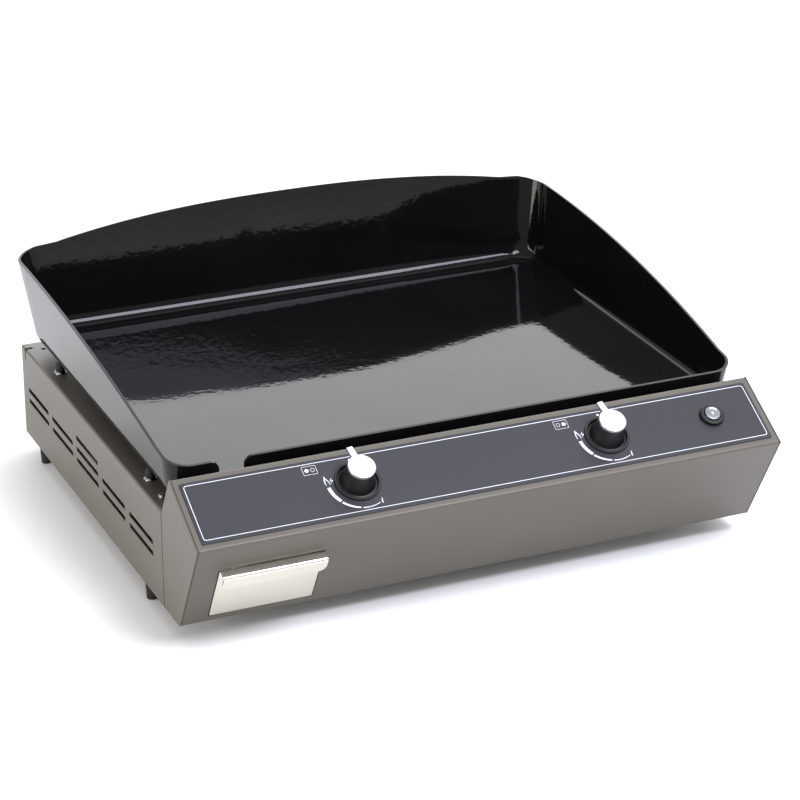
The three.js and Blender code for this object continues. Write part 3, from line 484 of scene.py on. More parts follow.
def console_columns():
    foot, fold, top, face = console_points()
    line = held(folded([foot + Vector((BOTTOM_FLANGE, 0)), foot, fold, top, top - face * REAR_FLANGE], FOLD))
    return [[(x, p.x, p.y) for p in line] for x in (console_low.x, -0.15, 0, 0.15, console_high.x)]


def console_tools():
    holes = [circle(x, KNOB_UP, BEZEL_HOLE) for x in KNOB_X] + [circle(IGNITER_X, KNOB_UP, IGNITER_HOLE, 48)]
    opening = round_box(drawer_low.x - DRAWER_SLACK, drawer_high.x + DRAWER_SLACK, DRAWER_LOW - DRAWER_SLACK,
                        DRAWER_LOW + DRAWER_TALL + DRAWER_SLACK, 0.6 * MM, 3)
    return [prisms("cut", holes, on_panel, -PUNCH_REACH, PUNCH_REACH),
            prisms("cut", [opening], on_face, -PUNCH_REACH, PUNCH_REACH)]


console = put("console_sheet", outward(grid_mesh("console_sheet", console_columns())), coated_steel, "casing",
              ["console_shell"])
thicken(console, SHEET)
for tool in console_tools():
    punch(console, tool)
soften(console, 0.3 * MM, 2)

cheek_low, cheek_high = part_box("console_cheek_left")
for hand, side in (("left", -1), ("right", 1)):
    foot, fold, top, _ = console_points()
    back = cheek_high.y
    lean = top.y - (back - top.x) / math.tan(TILT)
    outline = [foot, Vector((back, face_foot.z)), Vector((back, lean)), top, fold]
    near, far = sorted((side * casing_high.x, side * (casing_high.x - SHEET)))
    cheek = put(f"console_end_{hand}", prisms(f"console_end_{hand}", [outline], ACROSS, near, far),
                coated_steel, "casing", [f"console_cheek_{hand}"])
    soften(cheek, 0.5 * MM, 3)

# ---- Griddle plate ----
# A pan pressed from 3 mm steel and coated all over with black vitreous enamel. The walls lean out, the back
# rises to a crown, and the front wall is slit and folded down at the left as an outlet for fat.
PAN_SHEET = 3 * MM
FLARE = math.radians(8.3)
PAN_INSET = 9.5 * MM
FRONT_CLEARANCE = 6.4 * MM  # behind the console's rear flange
FRONT_CORNER = 24 * MM
REAR_CORNER = 26 * MM
SIDE_COVE = 7 * MM
BACK_COVE = 15 * MM
FRONT_RIM = 35.5 * MM
CORNER_RIM = 87.6 * MM
CROWN_RIM = 115 * MM
CROWN_POWER = 2.4
OUTLET_X = -234 * MM
OUTLET_HALF = 12.5 * MM
OUTLET_ROUND = 9 * MM
SPOUT_DROP = 14 * MM
FLAT_MARGIN = 8 * MM

plate_low, plate_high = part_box("griddle_plate")
pan_half = casing_high.x - PAN_INSET
pan_rear = casing_high.y - PAN_INSET
pan_front = console_high.y + FRONT_CLEARANCE
pan_under = plate_high.z - CROWN_RIM
pan_floor = pan_under + PAN_SHEET
turn = math.pi / 2 - FLARE


def enamel():
    """Vitreous enamel fired on steel: deep black glass with a slight orange peel, which makes the edges of
    what it mirrors ripple, and long faint waves from the pressing."""
    finish, tree, shader = new_finish(
        "black_vitreous_enamel_fired_on_steel", **{"Roughness": 0.05, "IOR": 1.3})
    where = add_node(tree, "ShaderNodeTexCoord").outputs["Object"]
    peel = add_node(tree, "ShaderNodeTexNoise", {"Vector": where, "Scale": 1 / (7 * MM), "Detail": 1.0})
    waves = add_node(tree, "ShaderNodeTexNoise", {"Vector": where, "Scale": 1 / (80 * MM), "Detail": 0.0})
    tint = add_node(tree, "ShaderNodeValToRGB", {"Fac": waves.outputs["Fac"]})
    tint.color_ramp.elements[0].color = linear("#080808")
    tint.color_ramp.elements[1].color = linear("#0d0d0e")
    long = add_node(tree, "ShaderNodeBump", {"Height": waves.outputs["Fac"], "Distance": 0.3 * MM})
    relief = add_node(tree, "ShaderNodeBump", {"Height": peel.outputs["Fac"], "Distance": 0.05 * MM,
                                               "Normal": long.outputs[0]})
    tree.links.new(tint.outputs[0], shader.inputs["Base Color"])
    tree.links.new(relief.outputs[0], shader.inputs["Normal"])
    return finish


def rim_up(x, y):
    """Height of the rim above the underside: one long arc along the sides, and the crown across the back."""
    drop, long = CORNER_RIM - FRONT_RIM, pan_rear - pan_front
    radius = (long ** 2 + drop ** 2) / (2 * drop)
    fall = radius - math.sqrt(radius ** 2 - min(pan_rear - y, long) ** 2)
    behind = y > (pan_front + pan_rear) / 2
    crown = (CROWN_RIM - CORNER_RIM) * (1 - abs(x / pan_half) ** CROWN_POWER) if behind else 0
    return CORNER_RIM - fall + crown


def wall_column(x, y, out, flare, rim=None):
    """The cooking side of the wall at one place, from the rim down round the cove to the flat floor."""
    rim = rim_up(x, y) if rim is None else rim
    near = min(max((y - (pan_rear - REAR_CORNER)) / REAR_CORNER, 0), 1)
    cove = SIDE_COVE + (BACK_COVE - SIDE_COVE) * near * near * (3 - 2 * near)
    steel = PAN_SHEET / math.cos(FLARE)
    cove_top = PAN_SHEET + cove * (1 - math.cos(turn))

    def point(up, off):
        lean = up * math.tan(FLARE)
        return (x + flare[0] * lean + out[0] * off, y + flare[1] * lean + out[1] * off, pan_under + up)

    points = [point(rim + (cove_top - rim) * i / 12, -steel) for i in range(12)]
    for i in range(9):
        a = turn * (1 - i / 8)
        up = PAN_SHEET + cove * (1 - math.cos(a))
        out_by = cove_top * math.tan(FLARE) - steel - cove * (math.sin(turn) - math.sin(a))
        points.append(point(up, out_by - up * math.tan(FLARE)))
    foot = points[-1]
    return points + [(foot[0] - out[0] * FLAT_MARGIN, foot[1] - out[1] * FLAT_MARGIN, foot[2])]


def spout_column(x, foot_y, lip_y):
    """The floor carried forward at the outlet and bent down."""
    bend = foot_y - lip_y
    points = [(x, lip_y, pan_floor - SPOUT_DROP + (SPOUT_DROP - bend) * i / 3) for i in range(3)]
    for i in range(18):
        a = math.pi / 2 * (1 - i / 17)
        points.append((x, foot_y - bend * math.sin(a), pan_floor - bend * (1 - math.cos(a))))
    return points + [(x, foot_y + FLAT_MARGIN, pan_floor)]


def pan_columns():
    """Columns round the whole pan, and the places in the list after which the sheet is slit."""
    columns, slits = [], []

    def straight(a, b, out, count):
        for i in range(1, count):
            x = a[0] + (b[0] - a[0]) * i / count
            y = a[1] + (b[1] - a[1]) * i / count
            columns.append(wall_column(x, y, out, out))

    def corner(sx, sy, radius, start):
        cx = sx * (pan_half - radius)
        cy = pan_rear - radius if sy > 0 else pan_front + radius
        for i in range(13):
            a = math.radians(start + 7.5 * i)
            out = (math.cos(a), math.sin(a))
            columns.append(wall_column(cx + out[0] * radius, cy + out[1] * radius, out, (sx, sy)))

    def outlet():
        out = (0, -1)
        shoulder = OUTLET_HALF + OUTLET_ROUND
        for i in range(9):
            a = math.radians(90 * i / 8)
            x = OUTLET_X - shoulder + OUTLET_ROUND * math.sin(a)
            columns.append(wall_column(x, pan_front, out, out, FRONT_RIM - OUTLET_ROUND * (1 - math.cos(a))))
        slits.append(len(columns) - 1)
        foot_y = columns[-1][-2][1]
        for i in range(9):
            columns.append(spout_column(OUTLET_X + OUTLET_HALF * (i / 4 - 1), foot_y, pan_front - PAN_SHEET))
        slits.append(len(columns) - 1)
        for i in range(8, -1, -1):
            a = math.radians(90 * i / 8)
            x = OUTLET_X + shoulder - OUTLET_ROUND * math.sin(a)
            columns.append(wall_column(x, pan_front, out, out, FRONT_RIM - OUTLET_ROUND * (1 - math.cos(a))))

    w, front, rear = pan_half, FRONT_CORNER, REAR_CORNER
    shoulder = OUTLET_HALF + OUTLET_ROUND
    straight((-w + front, pan_front), (OUTLET_X - shoulder, pan_front), (0, -1), 4)
    outlet()
    straight((OUTLET_X + shoulder, pan_front), (w - front, pan_front), (0, -1), 24)
    corner(1, -1, front, -90)
    straight((w, pan_front + front), (w, pan_rear - rear), (1, 0), 48)
    corner(1, 1, rear, 0)
    straight((w - rear, pan_rear), (-w + rear, pan_rear), (0, 1), 60)
    corner(-1, 1, rear, 90)
    straight((-w, pan_rear - rear), (-w, pan_front + front), (-1, 0), 48)
    corner(-1, -1, front, 180)
    return columns, slits


def pan_mesh():
    columns, slits = pan_columns()
    made = grid_mesh("enamelled_pan", columns, skip=slits, closed=True)
    work = bmesh.new()
    work.from_mesh(made)
    work.verts.ensure_lookup_table()
    rows = len(columns[0])
    ring = [work.verts[c * rows + rows - 1] for c in range(len(columns))]
    bmesh.ops.remove_doubles(work, verts=work.verts, dist=0.02 * MM)
    ring = [v for v in ring if v.is_valid]
    work.faces.new(ring)
    bmesh.ops.recalc_face_normals(work, faces=work.faces)
    floor_face = max(work.faces, key=lambda f: f.calc_area())
    if floor_face.normal.z < 0:
        bmesh.ops.reverse_faces(work, faces=work.faces)
    work.to_mesh(made)
    work.free()
    return made


black_enamel = enamel()
pan = put("enamelled_pan", pan_mesh(), black_enamel, "griddle_plate", ["griddle_plate"])
thicken(pan, PAN_SHEET)
soften(pan, 1.25 * MM, 4, 55)

# ---- Control panel film ----
# A polyester film, printed in dark grey from behind and stuck on the panel, punched round the knobs and the
# igniter. The marks are pale screen ink: a border line, a burner symbol and a flame scale for each knob.
FILM_TOP = 1.0 * MM
FILM_INSET = 7.2 * MM
FILM_CORNER = 1.5 * MM
INK = 0.06 * MM
LINE_WIDE = 0.7 * MM
LINE_HALF = 290 * MM
LINE_LOW = 10.8 * MM
LINE_HIGH = 73.3 * MM
SCALE_RADIUS = 30.5
SCALE_BANDS = ((-177.5, -141, 27.0, 27.2), (-138, -103, 28.2, 28.8), (-99.5, -64, 29.3, 29.8))
LOW_FLAME = ((16.5, -21.6), (15.3, -24.4), (14.8, -26.8), (15.4, -28.2), (16.2, -28.2), (16.1, -26.2),
             (16.5, -23.8))
HIGH_FLAME = ((-29.6, 12.4), (-31.0, 6.4), (-30.6, 1.8), (-29.8, 1.8), (-29.9, 6.0), (-29.0, 9.0),
              (-27.0, 4.6), (-26.6, 1.8), (-25.9, 2.0), (-26.2, 5.4), (-28.2, 9.4))
SPARK = ((-23.0, 9.2), (-25.4, 5.6), (-23.3, 5.9), (-25.2, 2.4), (-21.4, 6.6), (-23.6, 6.3))
OFF_DOT = (1.0, 25.0, 1.3)
SYMBOL_AT = (-39.8, 21.6)
SYMBOL_HALF = (7.0, 5.0)
SYMBOL_RING = 2.1
SYMBOL_LINE = 0.36
RING_LINE = 0.4


def printed_film():
    """Polyester film with a fine matt texture over a dark blue-grey print: an even satin face with a soft,
    slightly grainy sheen."""
    finish, tree, shader = new_finish("screen_printed_polyester_film", **{"Roughness": 0.36, "IOR": 1.42})
    where = add_node(tree, "ShaderNodeTexCoord").outputs["Object"]
    grain = add_node(tree, "ShaderNodeTexNoise", {"Vector": where, "Scale": 1 / (0.7 * MM), "Detail": 2.0})
    print_run = add_node(tree, "ShaderNodeTexNoise", {"Vector": where, "Scale": 1 / (55 * MM), "Detail": 1.0})
    tone = add_node(tree, "ShaderNodeValToRGB", {"Fac": print_run.outputs["Fac"]})
    tone.color_ramp.elements[0].color = linear("#222228")
    tone.color_ramp.elements[1].color = linear("#26262d")
    relief = add_node(tree, "ShaderNodeBump", {"Height": grain.outputs["Fac"], "Distance": 0.012 * MM})
    tree.links.new(tone.outputs[0], shader.inputs["Base Color"])
    tree.links.new(relief.outputs[0], shader.inputs["Normal"])
    return finish


def screen_ink():
    """Pale ink pulled through a mesh: flat and matt, with the faint unevenness of the mesh."""
    finish, tree, shader = new_finish("white_screen_ink", **{"Roughness": 0.5, "IOR": 1.45})
    where = add_node(tree, "ShaderNodeTexCoord").outputs["Object"]
    mesh_marks = add_node(tree, "ShaderNodeTexNoise",
                          {"Vector": where, "Scale": 1 / (0.4 * MM), "Detail": 1.0})
    tone = add_node(tree, "ShaderNodeValToRGB", {"Fac": mesh_marks.outputs["Fac"]})
    tone.color_ramp.elements[0].color = linear("#c9cbd4")
    tone.color_ramp.elements[1].color = linear("#dcdde4")
    tree.links.new(tone.outputs[0], shader.inputs["Base Color"])
    return finish


def rings(name, pairs, where, low, high):
    """Flat closed rings between an outer and an inner outline with as many points."""
    verts, faces = [], []
    for outer, inner in pairs:
        n, start = len(outer), len(verts)
        for outline, height in ((outer, low), (inner, low), (inner, high), (outer, high)):
            verts += [where @ Vector((x, y, height)) for x, y in outline]
        for i in range(n):
            j = (i + 1) % n
            for a, b in ((0, 1), (1, 2), (2, 3), (3, 0)):
                faces.append((start + a * n + i, start + a * n + j, start + b * n + j, start + b * n + i))
    made = bpy.data.meshes.new(name)
    made.from_pydata(verts, [], faces)
    return outward(made)


def scale_band(start, end, inner_start, inner_end, steps=14):
    """One band of the flame scale: a piece of a ring that thins from its start to its end."""
    outer, inner = [], []
    for i in range(steps + 1):
        a = math.radians(start + (end - start) * i / steps)
        r = inner_start + (inner_end - inner_start) * i / steps
        outer.append((SCALE_RADIUS * math.cos(a), SCALE_RADIUS * math.sin(a)))
        inner.append((r * math.cos(a), r * math.sin(a)))
    return outer + inner[::-1]


def knob_marks(x, filled):
    """Outlines of the solid marks and of the ringed marks round one knob, on the panel."""
    def moved(points):
        return [(x + px * MM, KNOB_UP + py * MM) for px, py in points]

    solids = [moved(scale_band(*band)) for band in SCALE_BANDS]
    solids += [moved(LOW_FLAME), moved(HIGH_FLAME), moved(SPARK), moved(circle(*OFF_DOT, 24))]
    cx, cy = SYMBOL_AT
    wide, tall = SYMBOL_HALF
    in_wide, in_tall = wide - SYMBOL_LINE, tall - SYMBOL_LINE
    frames = [(moved(round_box(cx - wide, cx + wide, cy - tall, cy + tall, 0.5, 3)),
               moved(round_box(cx - in_wide, cx + in_wide, cy - in_tall, cy + in_tall, 0.2, 3)))]
    for spot in (-1, 1):
        at = cx + spot * wide * 0.42
        if spot == filled:
            solids.append(moved(circle(at, cy, SYMBOL_RING, 24)))
        else:
            frames.append((moved(circle(at, cy, SYMBOL_RING, 24)),
                           moved(circle(at, cy, SYMBOL_RING - RING_LINE, 24))))
    return solids, frames


ink = screen_ink()
film_half = casing_high.x - FILM_INSET
film_box = round_box(-film_half, film_half, FILM_INSET, PANEL_LONG - FILM_INSET, FILM_CORNER)
film = put("panel_film", prisms("panel_film", [film_box], on_panel, 0, FILM_TOP), printed_film(), "casing",
           ["fascia_overlay"])
film_holes = [circle(x, KNOB_UP, BEZEL_HOLE, 96) for x in KNOB_X] + [circle(IGNITER_X, KNOB_UP, IGNITER_HOLE)]
punch(film, prisms("cut", film_holes, on_panel, -MM, 2 * MM))
soften(film, 0.15 * MM, 2)

border = [round_box(-LINE_HALF + off, LINE_HALF - off, LINE_LOW + off, LINE_HIGH - off, 3 * MM - off)
          for off in (0, LINE_WIDE)]
solid_marks, ringed_marks = [], [tuple(border)]
for x, filled in zip(KNOB_X, (-1, 1)):
    solids, frames = knob_marks(x, filled)
    solid_marks += solids
    ringed_marks += frames
marks_top = FILM_TOP + INK
put("printed_marks", prisms("printed_marks", solid_marks, on_panel, FILM_TOP - INK, marks_top), ink,
    "casing", [])
put("printed_lines", rings("printed_lines", ringed_marks, on_panel, FILM_TOP - INK, marks_top), ink,
    "casing", [])

# ---- Knobs ----
# Each knob is a black moulded cone on a thin skirt that turns in a moulded bezel, clipped into the panel. A
# satin chromed cap with a pointer is pressed on top, and the pointer leans left of upright at off.
BEZEL = ((22.2, 1.0), (22.2, 3.0), (19.6, 3.0), (19.6, -4.4), (5.0, -4.4), (5.0, -5.4), (20.4, -5.4),
         (20.4, 1.0), (22.2, 1.0))
BEZEL_ROUND = (0.7, 0.5, 0.3, 0.2, 0.2, 0.3, 0.1)
KNOB = ((0, -0.6), (19.3, -0.6), (19.3, 0.9), (17.0, 1.3), (16.3, 3.2), (13.0, 20.6), (0, 20.6))
KNOB_ROUND = (0.3, 0.4, 1.4, 1.2, 0.5)
CAP_FOOT = 21 * MM
CAP_TOP = 24.4 * MM
CAP_RADIUS = 13.3 * MM
POINTER_HALF = 3.3 * MM
POINTER_REACH = 24 * MM
POINTER_REST = math.radians(10)
POINTER_CORNER = 1.2 * MM


def moulded_black(name, code, rough, peel):
    """Glass-filled nylon from a lightly textured mould: deep black with a low sheen that breaks up along the
    edges, and the texture drawn a little coarse so that it shows."""
    finish, tree, shader = new_finish(name, **{"IOR": 1.4, "Base Color": linear(code)})
    where = add_node(tree, "ShaderNodeTexCoord").outputs["Object"]
    texture = add_node(tree, "ShaderNodeTexNoise", {"Vector": where, "Scale": 1 / (0.6 * MM), "Detail": 2.0})
    flow = add_node(tree, "ShaderNodeTexNoise", {"Vector": where, "Scale": 1 / (9 * MM), "Detail": 1.0})
    sheen = add_node(tree, "ShaderNodeMapRange", {"Value": flow.outputs["Fac"], "To Min": rough - 0.03,
                                                  "To Max": rough + 0.03})
    relief = add_node(tree, "ShaderNodeBump", {"Height": texture.outputs["Fac"], "Distance": peel})
    tree.links.new(sheen.outputs[0], shader.inputs["Roughness"])
    tree.links.new(relief.outputs[0], shader.inputs["Normal"])
    return finish


def satin_chrome():
    """Zinc casting, brushed in rings and chrome plated: bright silver with a soft satin blur."""
    finish, tree, shader = new_finish(
        "satin_chromed_zinc_casting", **{"Metallic": 1.0, "Base Color": linear("#cfcfd1")})
    where = add_node(tree, "ShaderNodeTexCoord").outputs["Object"]
    lines = add_node(tree, "ShaderNodeTexNoise", {"Vector": where, "Scale": 1 / (0.5 * MM), "Detail": 3.0})
    blur = add_node(tree, "ShaderNodeMapRange",
                    {"Value": lines.outputs["Fac"], "To Min": 0.24, "To Max": 0.34})
    relief = add_node(tree, "ShaderNodeBump", {"Height": lines.outputs["Fac"], "Distance": 0.004 * MM})
    tree.links.new(blur.outputs[0], shader.inputs["Roughness"])
    tree.links.new(relief.outputs[0], shader.inputs["Normal"])
    return finish


def turned(name, profile, where, steps=96):
    """A turned piece about a frame's Z, from (radius, height) points in metres."""
    columns = []
    for i in range(steps):
        a = 2 * math.pi * i / steps
        columns.append([where @ Vector((r * math.cos(a), r * math.sin(a), z)) for r, z in profile])
    return outward(merge_close(grid_mesh(name, columns, closed=True), 0.01 * MM))


def eased(corners, radii, steps=5):
    """A profile given in millimetres with each inner corner rounded by its own radius, in metres."""
    points = [Vector(c) * MM for c in corners]
    line = [points[0]]
    for i, radius in enumerate(radii):
        line += folded([points[i], points[i + 1], points[i + 2]], radius * MM, steps)[1:-1]
    return [tuple(p) for p in held(line + [points[-1]], 0.15 * MM)]


def cap_outline():
    """The cap's disc and pointer as one outline, with the pointer's end corners rounded."""
    meet = math.asin(POINTER_HALF / CAP_RADIUS)
    sweep = 2 * math.pi - 2 * meet
    points = []
    for i in range(73):
        a = math.pi / 2 + meet + sweep * i / 72
        points.append((CAP_RADIUS * math.cos(a), CAP_RADIUS * math.sin(a)))
    cy = POINTER_REACH - POINTER_CORNER
    for cx, start in ((POINTER_HALF - POINTER_CORNER, 0), (-POINTER_HALF + POINTER_CORNER, 90)):
        for i in range(6):
            a = math.radians(start + 90 * i / 5)
            points.append((cx + POINTER_CORNER * math.cos(a), cy + POINTER_CORNER * math.sin(a)))
    return points


bezel_black = moulded_black("moulded_black_nylon_bezel", "#040404", 0.5, 0.01 * MM)
knob_black = moulded_black("moulded_black_nylon", "#08080a", 0.42, 0.006 * MM)
chrome = satin_chrome()
for hand, x in zip(("left", "right"), KNOB_X):
    at = on_panel @ Matrix.Translation((x, KNOB_UP, 0))
    bezel = eased(BEZEL, BEZEL_ROUND)
    put(f"bezel_{hand}", turned(f"bezel_{hand}", bezel, at), bezel_black, "casing", [f"knob_bezel_{hand}"])
    put(f"knob_cone_{hand}", turned(f"knob_cone_{hand}", eased(KNOB, KNOB_ROUND), at, 128), knob_black,
        f"knob_{hand}", [f"knob_body_{hand}"])
    lean = at @ Matrix.Rotation(POINTER_REST, 4, "Z")
    cap = put(f"pointer_cap_{hand}",
              prisms(f"pointer_cap_{hand}", [cap_outline()], lean, CAP_FOOT, CAP_TOP), chrome,
              f"knob_{hand}", [f"knob_cap_{hand}"])
    soften(cap, 0.6 * MM, 4)

# ---- Spark igniter ----
# A black moulded barrel through the panel with a round collar, and a satin metal button printed with a spark.
COLLAR = ((0, -26), (9.9, -26), (9.9, 1.0), (12.4, 1.0), (12.4, 5.0), (8.2, 5.0), (8.2, -5.0), (0, -5.0))
COLLAR_ROUND = (0.6, 0.1, 0.3, 1.5, 0.9, 0.3)
BUTTON = ((0, -0.6), (7.8, -0.6), (7.8, 6.0), (6.6, 5.9), (5.0, 5.6), (0, 5.5))
BUTTON_ROUND = (0.2, 0.8, 0.5, 0.8)
BUTTON_SPARK = ((0.3, 2.6), (-1.9, -0.2), (-0.4, -0.1), (-1.0, -2.8), (1.8, 0.5), (0.4, 0.5))


def dulled_metal():
    """Pressed aluminium under a tinted lacquer: a grey metal that mirrors softly."""
    finish, tree, shader = new_finish("lacquered_pressed_aluminium", **{"Metallic": 1.0,
                                                                       "Base Color": linear("#85868c")})
    where = add_node(tree, "ShaderNodeTexCoord").outputs["Object"]
    lines = add_node(tree, "ShaderNodeTexNoise", {"Vector": where, "Scale": 1 / (0.6 * MM), "Detail": 2.0})
    blur = add_node(tree, "ShaderNodeMapRange",
                    {"Value": lines.outputs["Fac"], "To Min": 0.22, "To Max": 0.36})
    tree.links.new(blur.outputs[0], shader.inputs["Roughness"])
    return finish


igniter_at = on_panel @ Matrix.Translation((IGNITER_X, KNOB_UP, 0))
put("igniter_collar", turned("igniter_collar", eased(COLLAR, COLLAR_ROUND), igniter_at), knob_black, "casing",
    ["igniter_body"])
put("igniter_cap", turned("igniter_cap", eased(BUTTON, BUTTON_ROUND), igniter_at), dulled_metal(),
    "igniter_button", ["igniter_button"])
spark = [(px * MM, py * MM) for px, py in BUTTON_SPARK]
put("igniter_mark", prisms("igniter_mark", [spark], igniter_at, 5.3 * MM, 5.62 * MM), ink,
    "igniter_button", [])

# ---- Grease drawer ----
# Satin stainless sheet. The front is folded out into a flange and down into a lip with round corners, which
# is the handle, and a folded tray stands behind it.
DRAWER_SHEET = 1.2 * MM
HANDLE_REACH = 10 * MM
LIP_FALL = 15 * MM
LIP_CORNER = 8 * MM
FRONT_CORNER_ROUND = 1.6 * MM
DRAWER_FOLD = 1.8 * MM


def stainless():
    """Stainless sheet with a fine grain rolled along its length: soft warm silver, streaked faintly along the
    grain, which is drawn a little coarse so that it shows."""
    finish, tree, shader = new_finish(
        "satin_stainless_sheet", **{"Metallic": 1.0, "Base Color": linear("#d3cfc3")})
    where = add_node(tree, "ShaderNodeTexCoord").outputs["Object"]
    along = add_node(tree, "ShaderNodeMapping",
                     {"Vector": where, "Scale": (1 / (45 * MM), 1 / (0.5 * MM), 1 / (0.5 * MM))})
    grain = add_node(tree, "ShaderNodeTexNoise", {"Vector": along.outputs[0], "Scale": 1.0, "Detail": 3.0})
    blur = add_node(tree, "ShaderNodeMapRange",
                    {"Value": grain.outputs["Fac"], "To Min": 0.17, "To Max": 0.26})
    relief = add_node(tree, "ShaderNodeBump", {"Height": grain.outputs["Fac"], "Distance": 0.006 * MM})
    tree.links.new(blur.outputs[0], shader.inputs["Roughness"])
    tree.links.new(relief.outputs[0], shader.inputs["Normal"])
    return finish


def corner_lift(x, radius):
    """How much shorter the sheet is near its ends, where a corner is rounded."""
    near = min(x - drawer_low.x, drawer_high.x - x)
    if near >= radius:
        return 0
    return radius - math.sqrt(max(radius ** 2 - (radius - near) ** 2, 0))


def drawer_columns():
    """Columns from the foot of the front, up, out along the flange and down the lip, on the leaning face."""
    top = DRAWER_LOW + DRAWER_TALL
    ends = [LIP_CORNER * (1 - math.cos(math.radians(a))) for a in range(0, 91, 9)]
    middle = [LIP_CORNER + (drawer_high.x - drawer_low.x - 2 * LIP_CORNER) * i / 10 for i in range(1, 10)]
    span = drawer_high.x - drawer_low.x
    columns = []
    for run in ends + middle + [span - e for e in reversed(ends)]:
        x = drawer_low.x + run
        foot = DRAWER_LOW + corner_lift(x, FRONT_CORNER_ROUND)
        tip = top - LIP_FALL + corner_lift(x, LIP_CORNER)
        line = held(folded([(foot, 0), (top, 0), (top, HANDLE_REACH), (tip, HANDLE_REACH)], DRAWER_FOLD))
        columns.append([on_face @ Vector((x, up, out)) for up, out in line])
    return columns


steel = stainless()
front = put("drawer_handle_front", grid_mesh("drawer_handle_front", drawer_columns()), steel, "drawer",
            ["drawer_front"])
face_out = on_face.to_3x3() @ Vector((0, 0, 1))
if front.data.polygons[0].normal.dot(face_out) < 0:
    front.data.flip_normals()
thicken(front, DRAWER_SHEET)
soften(front, 0.25 * MM, 2)

# ---- Feet, studs and screws ----
# Four turned rubber feet, four plated studs, each with a black rubber bumper that the plate rests on, and
# the two screws that hold the console's cheeks to the casing's flange.
FOOT = ((0, -21), (5.2, -21), (6.0, -5.0), (6.0, -0.05), (0, -0.05))
FOOT_ROUND = (1.2, 0.6, 0.3)
STUD = ((0, 0.05), (6.4, 0.05), (6.4, 1.0), (4.9, 2.6), (0, 2.9))
STUD_ROUND = (0.2, 0.8, 1.6)
BUMPER = ((0, 2.8), (4.2, 2.8), (4.6, 5.0), (4.4, 9.5), (2.4, 12.2), (0, 12.2))
BUMPER_ROUND = (0.3, 1.0, 2.0, 1.4)
SCREW = ((0, 0.05), (4.0, 0.05), (3.9, 1.3), (2.7, 2.8), (0, 3.0))
SCREW_ROUND = (0.2, 1.0, 1.2)
RECESS = (0.45, 2.1)


def rubber():
    """Moulded rubber: matt black with a dusty bloom and a faint grain."""
    finish, tree, shader = new_finish("moulded_rubber", **{"Roughness": 0.78, "IOR": 1.5})
    where = add_node(tree, "ShaderNodeTexCoord").outputs["Object"]
    grain = add_node(tree, "ShaderNodeTexNoise", {"Vector": where, "Scale": 1 / (1.1 * MM), "Detail": 3.0})
    bloom = add_node(tree, "ShaderNodeValToRGB", {"Fac": grain.outputs["Fac"]})
    bloom.color_ramp.elements[0].color = linear("#0d0d0d")
    bloom.color_ramp.elements[1].color = linear("#191919")
    relief = add_node(tree, "ShaderNodeBump", {"Height": grain.outputs["Fac"], "Distance": 0.03 * MM})
    tree.links.new(bloom.outputs[0], shader.inputs["Base Color"])
    tree.links.new(relief.outputs[0], shader.inputs["Normal"])
    return finish


def bright_zinc():
    """Steel, turned and bright zinc plated: a near mirror with faint tool marks, so it is dark wherever it
    faces the black plate."""
    finish, tree, shader = new_finish(
        "bright_zinc_plated_steel", **{"Metallic": 1.0, "Base Color": linear("#a9aaab")})
    where = add_node(tree, "ShaderNodeTexCoord").outputs["Object"]
    marks = add_node(tree, "ShaderNodeTexNoise", {"Vector": where, "Scale": 1 / (0.8 * MM), "Detail": 2.0})
    blur = add_node(tree, "ShaderNodeMapRange", {"Value": marks.outputs["Fac"], "To Min": 0.1, "To Max": 0.2})
    tree.links.new(blur.outputs[0], shader.inputs["Roughness"])
    return finish


def standing(node):
    """A frame at the middle of a CAD node's box, with the height of its casing end as its zero."""
    low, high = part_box(node)
    level = casing_low.z if node.startswith("foot") else casing_high.z
    return Matrix.Translation(((low.x + high.x) / 2, (low.y + high.y) / 2, level))


black_rubber, plated = rubber(), bright_zinc()
for row in ("front", "rear"):
    for hand in ("left", "right"):
        foot, stud = f"foot_{row}_{hand}", f"plate_stud_{row}_{hand}"
        put(f"rubber_{foot}", turned(foot, eased(FOOT, FOOT_ROUND), standing(foot), 48), black_rubber,
            "casing", [foot])
        put(f"plated_{stud}", turned(stud, eased(STUD, STUD_ROUND), standing(stud), 48), plated,
            "casing", [stud])
        put(f"bumper_{row}_{hand}", turned("bumper", eased(BUMPER, BUMPER_ROUND), standing(stud), 48),
            black_rubber, "casing", [])
for hand in ("left", "right"):
    at = standing(f"casing_screw_{hand}")
    screw = put(f"pan_head_screw_{hand}", turned("screw", eased(SCREW, SCREW_ROUND), at, 48), plated,
                "casing", [f"casing_screw_{hand}"])
    half, arm = RECESS[0] * MM, RECESS[1] * MM
    cross = [[(-arm, -half), (arm, -half), (arm, half), (-arm, half)],
             [(-half, -arm), (half, -arm), (half, arm), (-half, arm)]]
    for bar in cross:
        punch(screw, prisms("cut", [bar], at, 1.6 * MM, 4 * MM))

# ---- Gas inlet ----
# A turned brass union through the back of the casing, held by a hexagon nut, with a coarse pipe thread and a
# nose for the supply hose.
INLET_PITCH = 1.8
INLET_TURNS = 6


